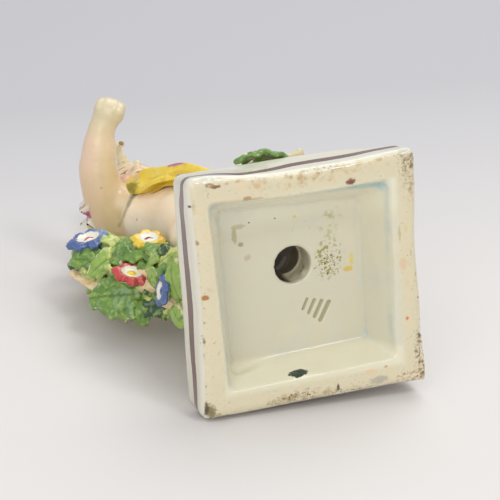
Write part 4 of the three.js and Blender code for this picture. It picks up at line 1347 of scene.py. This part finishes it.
def leaf_finish(name, ground, edge, edge_share):
    """Green enamel, dark along the rib, with the edge left in another colour in places."""
    finish = green_enamel(name, ground)
    rim = finish.attribute("rim")
    finish.paint(GREENS[3], finish.rise(rim, 0.16, 0), 0.5)
    patches = finish.effect(blotches, Size=2.6, Cover=edge_share, Softness=0.1)
    finish.paint(edge, finish.all_of(finish.rise(rim, 0.8, 0.95), patches), 0.9)
    return finish.seal()


LEAF_FINISHES = (
    leaf_finish("mid_green", GREENS[0], PALE_CLAY, 0.35),
    leaf_finish("light_green", GREENS[1], shade(226, 214, 170), 0.5),
    leaf_finish("yellow_green", GREENS[2], shade(214, 208, 140), 0.4),
    leaf_finish("dark_green", GREENS[3], GREENS[1], 0.4),
)
LEAVES = (
    # root, tip, facing, width, finish
    ((-24.4, 11.4, 47), (-40.1, 12.2, 55), (-0.35, -0.45, -0.8), 12.8, 0),
    ((-28.4, 12.4, 44.4), (-30, 18.2, 46), (-0.6, -0.1, -0.8), 4.6, 0),
    ((-30, 7.6, 64), (-39.9, 6.2, 71), (-0.3, -0.5, -0.8), 7.4, 0),
    ((-30, 8, 74), (-38.6, 11, 79), (-0.5, -0.5, -0.6), 6.4, 3),
    ((-27.6, 3.4, 61), (-38, 8.2, 61), (-0.3, -0.7, -0.6), 7.4, 1),
    ((-32.4, 4.6, 60), (-22.6, 1.8, 50), (-0.3, -0.9, -0.4), 7, 0),
    ((-22, 9, 44), (-28.8, 14.6, 40), (-0.5, -0.4, -0.7), 10, 3),
    ((-23.4, 8, 27), (-24.6, -3.2, 30), (-0.85, -0.1, -0.5), 5.8, 1),
    ((-26.4, 8.4, 27), (-24.4, 12.6, 23.2), (-0.6, 0.1, -0.7), 4.4, 1),
    ((-29, 2.4, 64), (-32.6, 0.4, 66), (-0.2, -0.8, -0.3), 3.6, 2),
    ((-21, 1, 52), (-26, 0.8, 47.6), (-0.3, -0.9, -0.4), 6, 0),
    ((-22, 4, 46), (-22.8, -2.4, 40), (-0.8, -0.4, -0.3), 7, 3),
    ((-22, 5, 36), (-27.2, -1, 33), (-0.6, -0.5, -0.5), 6, 0),
    ((2.4, -26.4, 16), (-11.6, -29, 15.9), (0, -0.8, 0.5), 6.6, 0),
    ((-3, -22, 15.6), (-10, -27.4, 15.8), (0, -0.3, 1), 7, 1),
)
for number, (root, tip, facing, width, paint) in enumerate(LEAVES):
    blade = leaf(f"leaf_{number + 1}", root, tip, facing, width)
    blade.data.materials.append(LEAF_FINISHES[paint])
    belongs(blade)

# Small leaves lie all round the clumps, clear of the flowers, and four large ones hang at the back
FLOWER_PLACES = ((-34.8, 1.4, 72), (-23.4, -1.4, 55), (-30.6, 5, 48.6), (-28.4, 5, 31), (-28.4, 14.4, 62), (-19.6, 14.6, 44))
small_leaves = []
AROUND, TIERS = 7, 2
for clump, centre in enumerate(clump_middles):
    for number in range(AROUND * TIERS):
        turn = math.tau * (number + 0.4 * clump) / AROUND + 0.45 * (number // AROUND)
        height = 0.35 if number < AROUND else -0.35
        out = Vector((math.cos(turn), math.sin(turn), height)).normalized()
        root = centre + Vector(out[k] * CLUMP_SIZE[k] for k in range(3)) * 0.94
        drop = Vector((-math.sin(turn) * 0.7, math.cos(turn) * 0.7, -1 + 0.3 * (number % 3)))
        tip = root + drop.normalized() * (5.4 + number % 3) + out * 0.3
        to_flower = min((root.lerp(tip, 0.5) - Vector(place)).length for place in FLOWER_PLACES)
        if to_flower < 7.2 or (min(root.x, tip.x) < -36.6 and clump == len(CLUMPS) - 1):
            continue
        blade = leaf("small_leaf", root, tip, out, 4.6, 0.1, 1.1)
        blade.data.materials.append(LEAF_FINISHES[(clump + number) % 3])
        small_leaves.append(blade)
deselect()
for blade in small_leaves:
    blade.select_set(True)
bpy.context.view_layer.objects.active = small_leaves[0]
bpy.ops.object.join()
bpy.context.object.name = "small_leaves"
belongs(bpy.context.object)
for number in range(4):
    height = 24 + number * 16
    stretch = (STUMP_FOOT, STUMP_KNEE) if height < STUMP_KNEE.z else (STUMP_KNEE, STUMP_CROWN)
    share = (height - stretch[0].z) / (stretch[1].z - stretch[0].z)
    joint = stretch[0].lerp(stretch[1], share)
    swing = 1 if number % 2 == 0 else -1
    root, tip = joint + Vector((2 + swing * 2, 2.4, 4)), joint + Vector((6 + swing * 7, 4.4, -6))
    blade = leaf(f"back_leaf_{number + 1}", root, tip, (0.2, 1, 0.2), 11)
    blade.data.materials.append(LEAF_FINISHES[number % 2])
    belongs(blade)

# Flowers: pressed in little moulds, with notched petals round a dished middle and a low heart, and
# stuck on where leaves meet. The petals are enamelled and their middles left white.


def step(value, start, end):
    return soft(max(0.0, min(1.0, (value - start) / (end - start))))


def flower(name, centre, facing, radius, petals, colours, heart_height, turned):
    """A flower from a ball pressed flat: "colours" are its petals, their shading and its heart."""
    deselect()
    bpy.ops.mesh.primitive_uv_sphere_add(segments=16 * petals, ring_count=40, radius=1)
    bloom = bpy.context.object
    bloom.name = name
    turn = UP.rotation_difference(Vector(facing))
    for point in bloom.data.vertices:
        angle = math.atan2(point.co.y, point.co.x)
        spread = math.acos(max(-1, min(1, abs(point.co.z)))) / (math.pi / 2)
        scallop = abs(math.cos(petals * (angle - turned) / 2)) ** 0.7
        uneven = 0.06 * math.sin(3 * angle + radius) + 0.05 * math.sin(3 * petals * angle + 2 * radius)
        reach = radius * spread * (1 + (uneven - 0.32 * (1 - scallop)) * step(spread, 0.45, 1))
        if point.co.z >= -1e-6:
            lift = 0.13 * radius * step(spread, 0.3, 0.62) - 0.16 * radius * step(spread, 0.75, 1)
            lift += 0.07 * radius * step(spread, 0.2, 0.08)
            lift += 0.09 * radius * (scallop - 0.6) * step(spread, 0.35, 0.8)
        else:
            lift = -0.4 * radius * step(spread, 1, 0.35) - 0.2 * radius
        place = Vector((math.cos(angle) * reach, math.sin(angle) * reach, lift))
        point.co = here(*centre) + turn @ place * MM
    bpy.ops.object.shade_smooth()
    mark_hollows(bloom, 6)
    petal, shading, heart = colours
    finish = Finish(f"{name}_enamel", shade(234, 230, 214))
    _, ring, _ = add(finish.tree, "SeparateXYZ", Vector=add(finish.tree, "UVMap").outputs["UV"]).outputs
    spread = finish.sum_of("MULTIPLY", finish.sum_of("SUBTRACT", 1, ring), 2)
    ragged = finish.sum_of("MULTIPLY", finish.effect(blotches, Size=0.8, Cover=0.5, Softness=0.5), 0.2)
    ragged = finish.sum_of("ADD", spread, ragged)
    painted = finish.all_of(finish.rise(ragged, 0.5, 0.6), finish.rise(ragged, 1.14, 1.08))
    finish.paint(petal, painted, 0.95)
    finish.paint(shading, finish.all_of(painted, finish.effect(blotches, Size=0.9, Cover=0.4, Softness=0.2)), 0.6)
    far_side = finish.rise(finish.x, centre[0] + 0.2 * radius, centre[0] + 0.8 * radius)
    finish.paint(shading, finish.all_of(painted, far_side), 0.7)
    finish.paint(GREENS[0], finish.rise(spread, 1.14, 1.2))
    finish.paint(shade(150, 146, 130), finish.rise(finish.attribute("hollow"), 0.1, 0.4), 0.4)
    size = (0.3 * radius, 0.3 * radius, heart_height * radius)
    seed = tuple(Vector(centre) + Vector(facing).normalized() * 0.05 * radius)
    finish.paint(heart, finish.effect(spot, Centre=seed, Size=size, Ragged=0.15, Softness=0.3))
    finish.cover(bloom)
    belongs(bloom)


BLUE, PALE_BLUE, RED = shade(58, 90, 152), shade(150, 176, 206), shade(196, 40, 52)
YELLOW, GOLD, DARK_RED = shade(234, 200, 50), shade(206, 160, 40), shade(124, 22, 44)
SCARLET, CRIMSON = shade(196, 50, 48), shade(140, 28, 36)
FLOWERS = (
    # facing, radius, petals, colours, height of the heart
    ((-0.2, -1, -0.04), 5.8, 7, (BLUE, PALE_BLUE, RED), 0.11),
    ((0, -0.95, -0.22), 4.7, 6, (YELLOW, GOLD, DARK_RED), 0.12),
    ((0.15, -0.95, -0.3), 5, 7, (SCARLET, CRIMSON, YELLOW), 0.3),
    ((-1, -0.25, 0.05), 4.3, 5, (BLUE, PALE_BLUE, BLUE), 0.3),
    ((-0.3, 1, 0.2), 4.6, 6, (SCARLET, CRIMSON, YELLOW), 0.3),
    ((0.2, 1, 0.2), 4.8, 5, (BLUE, PALE_BLUE, RED), 0.2),
)
for number, (centre, row) in enumerate(zip(FLOWER_PLACES, FLOWERS)):
    flower(f"flower_{number + 1}", centre, *row, 0.5 * number)
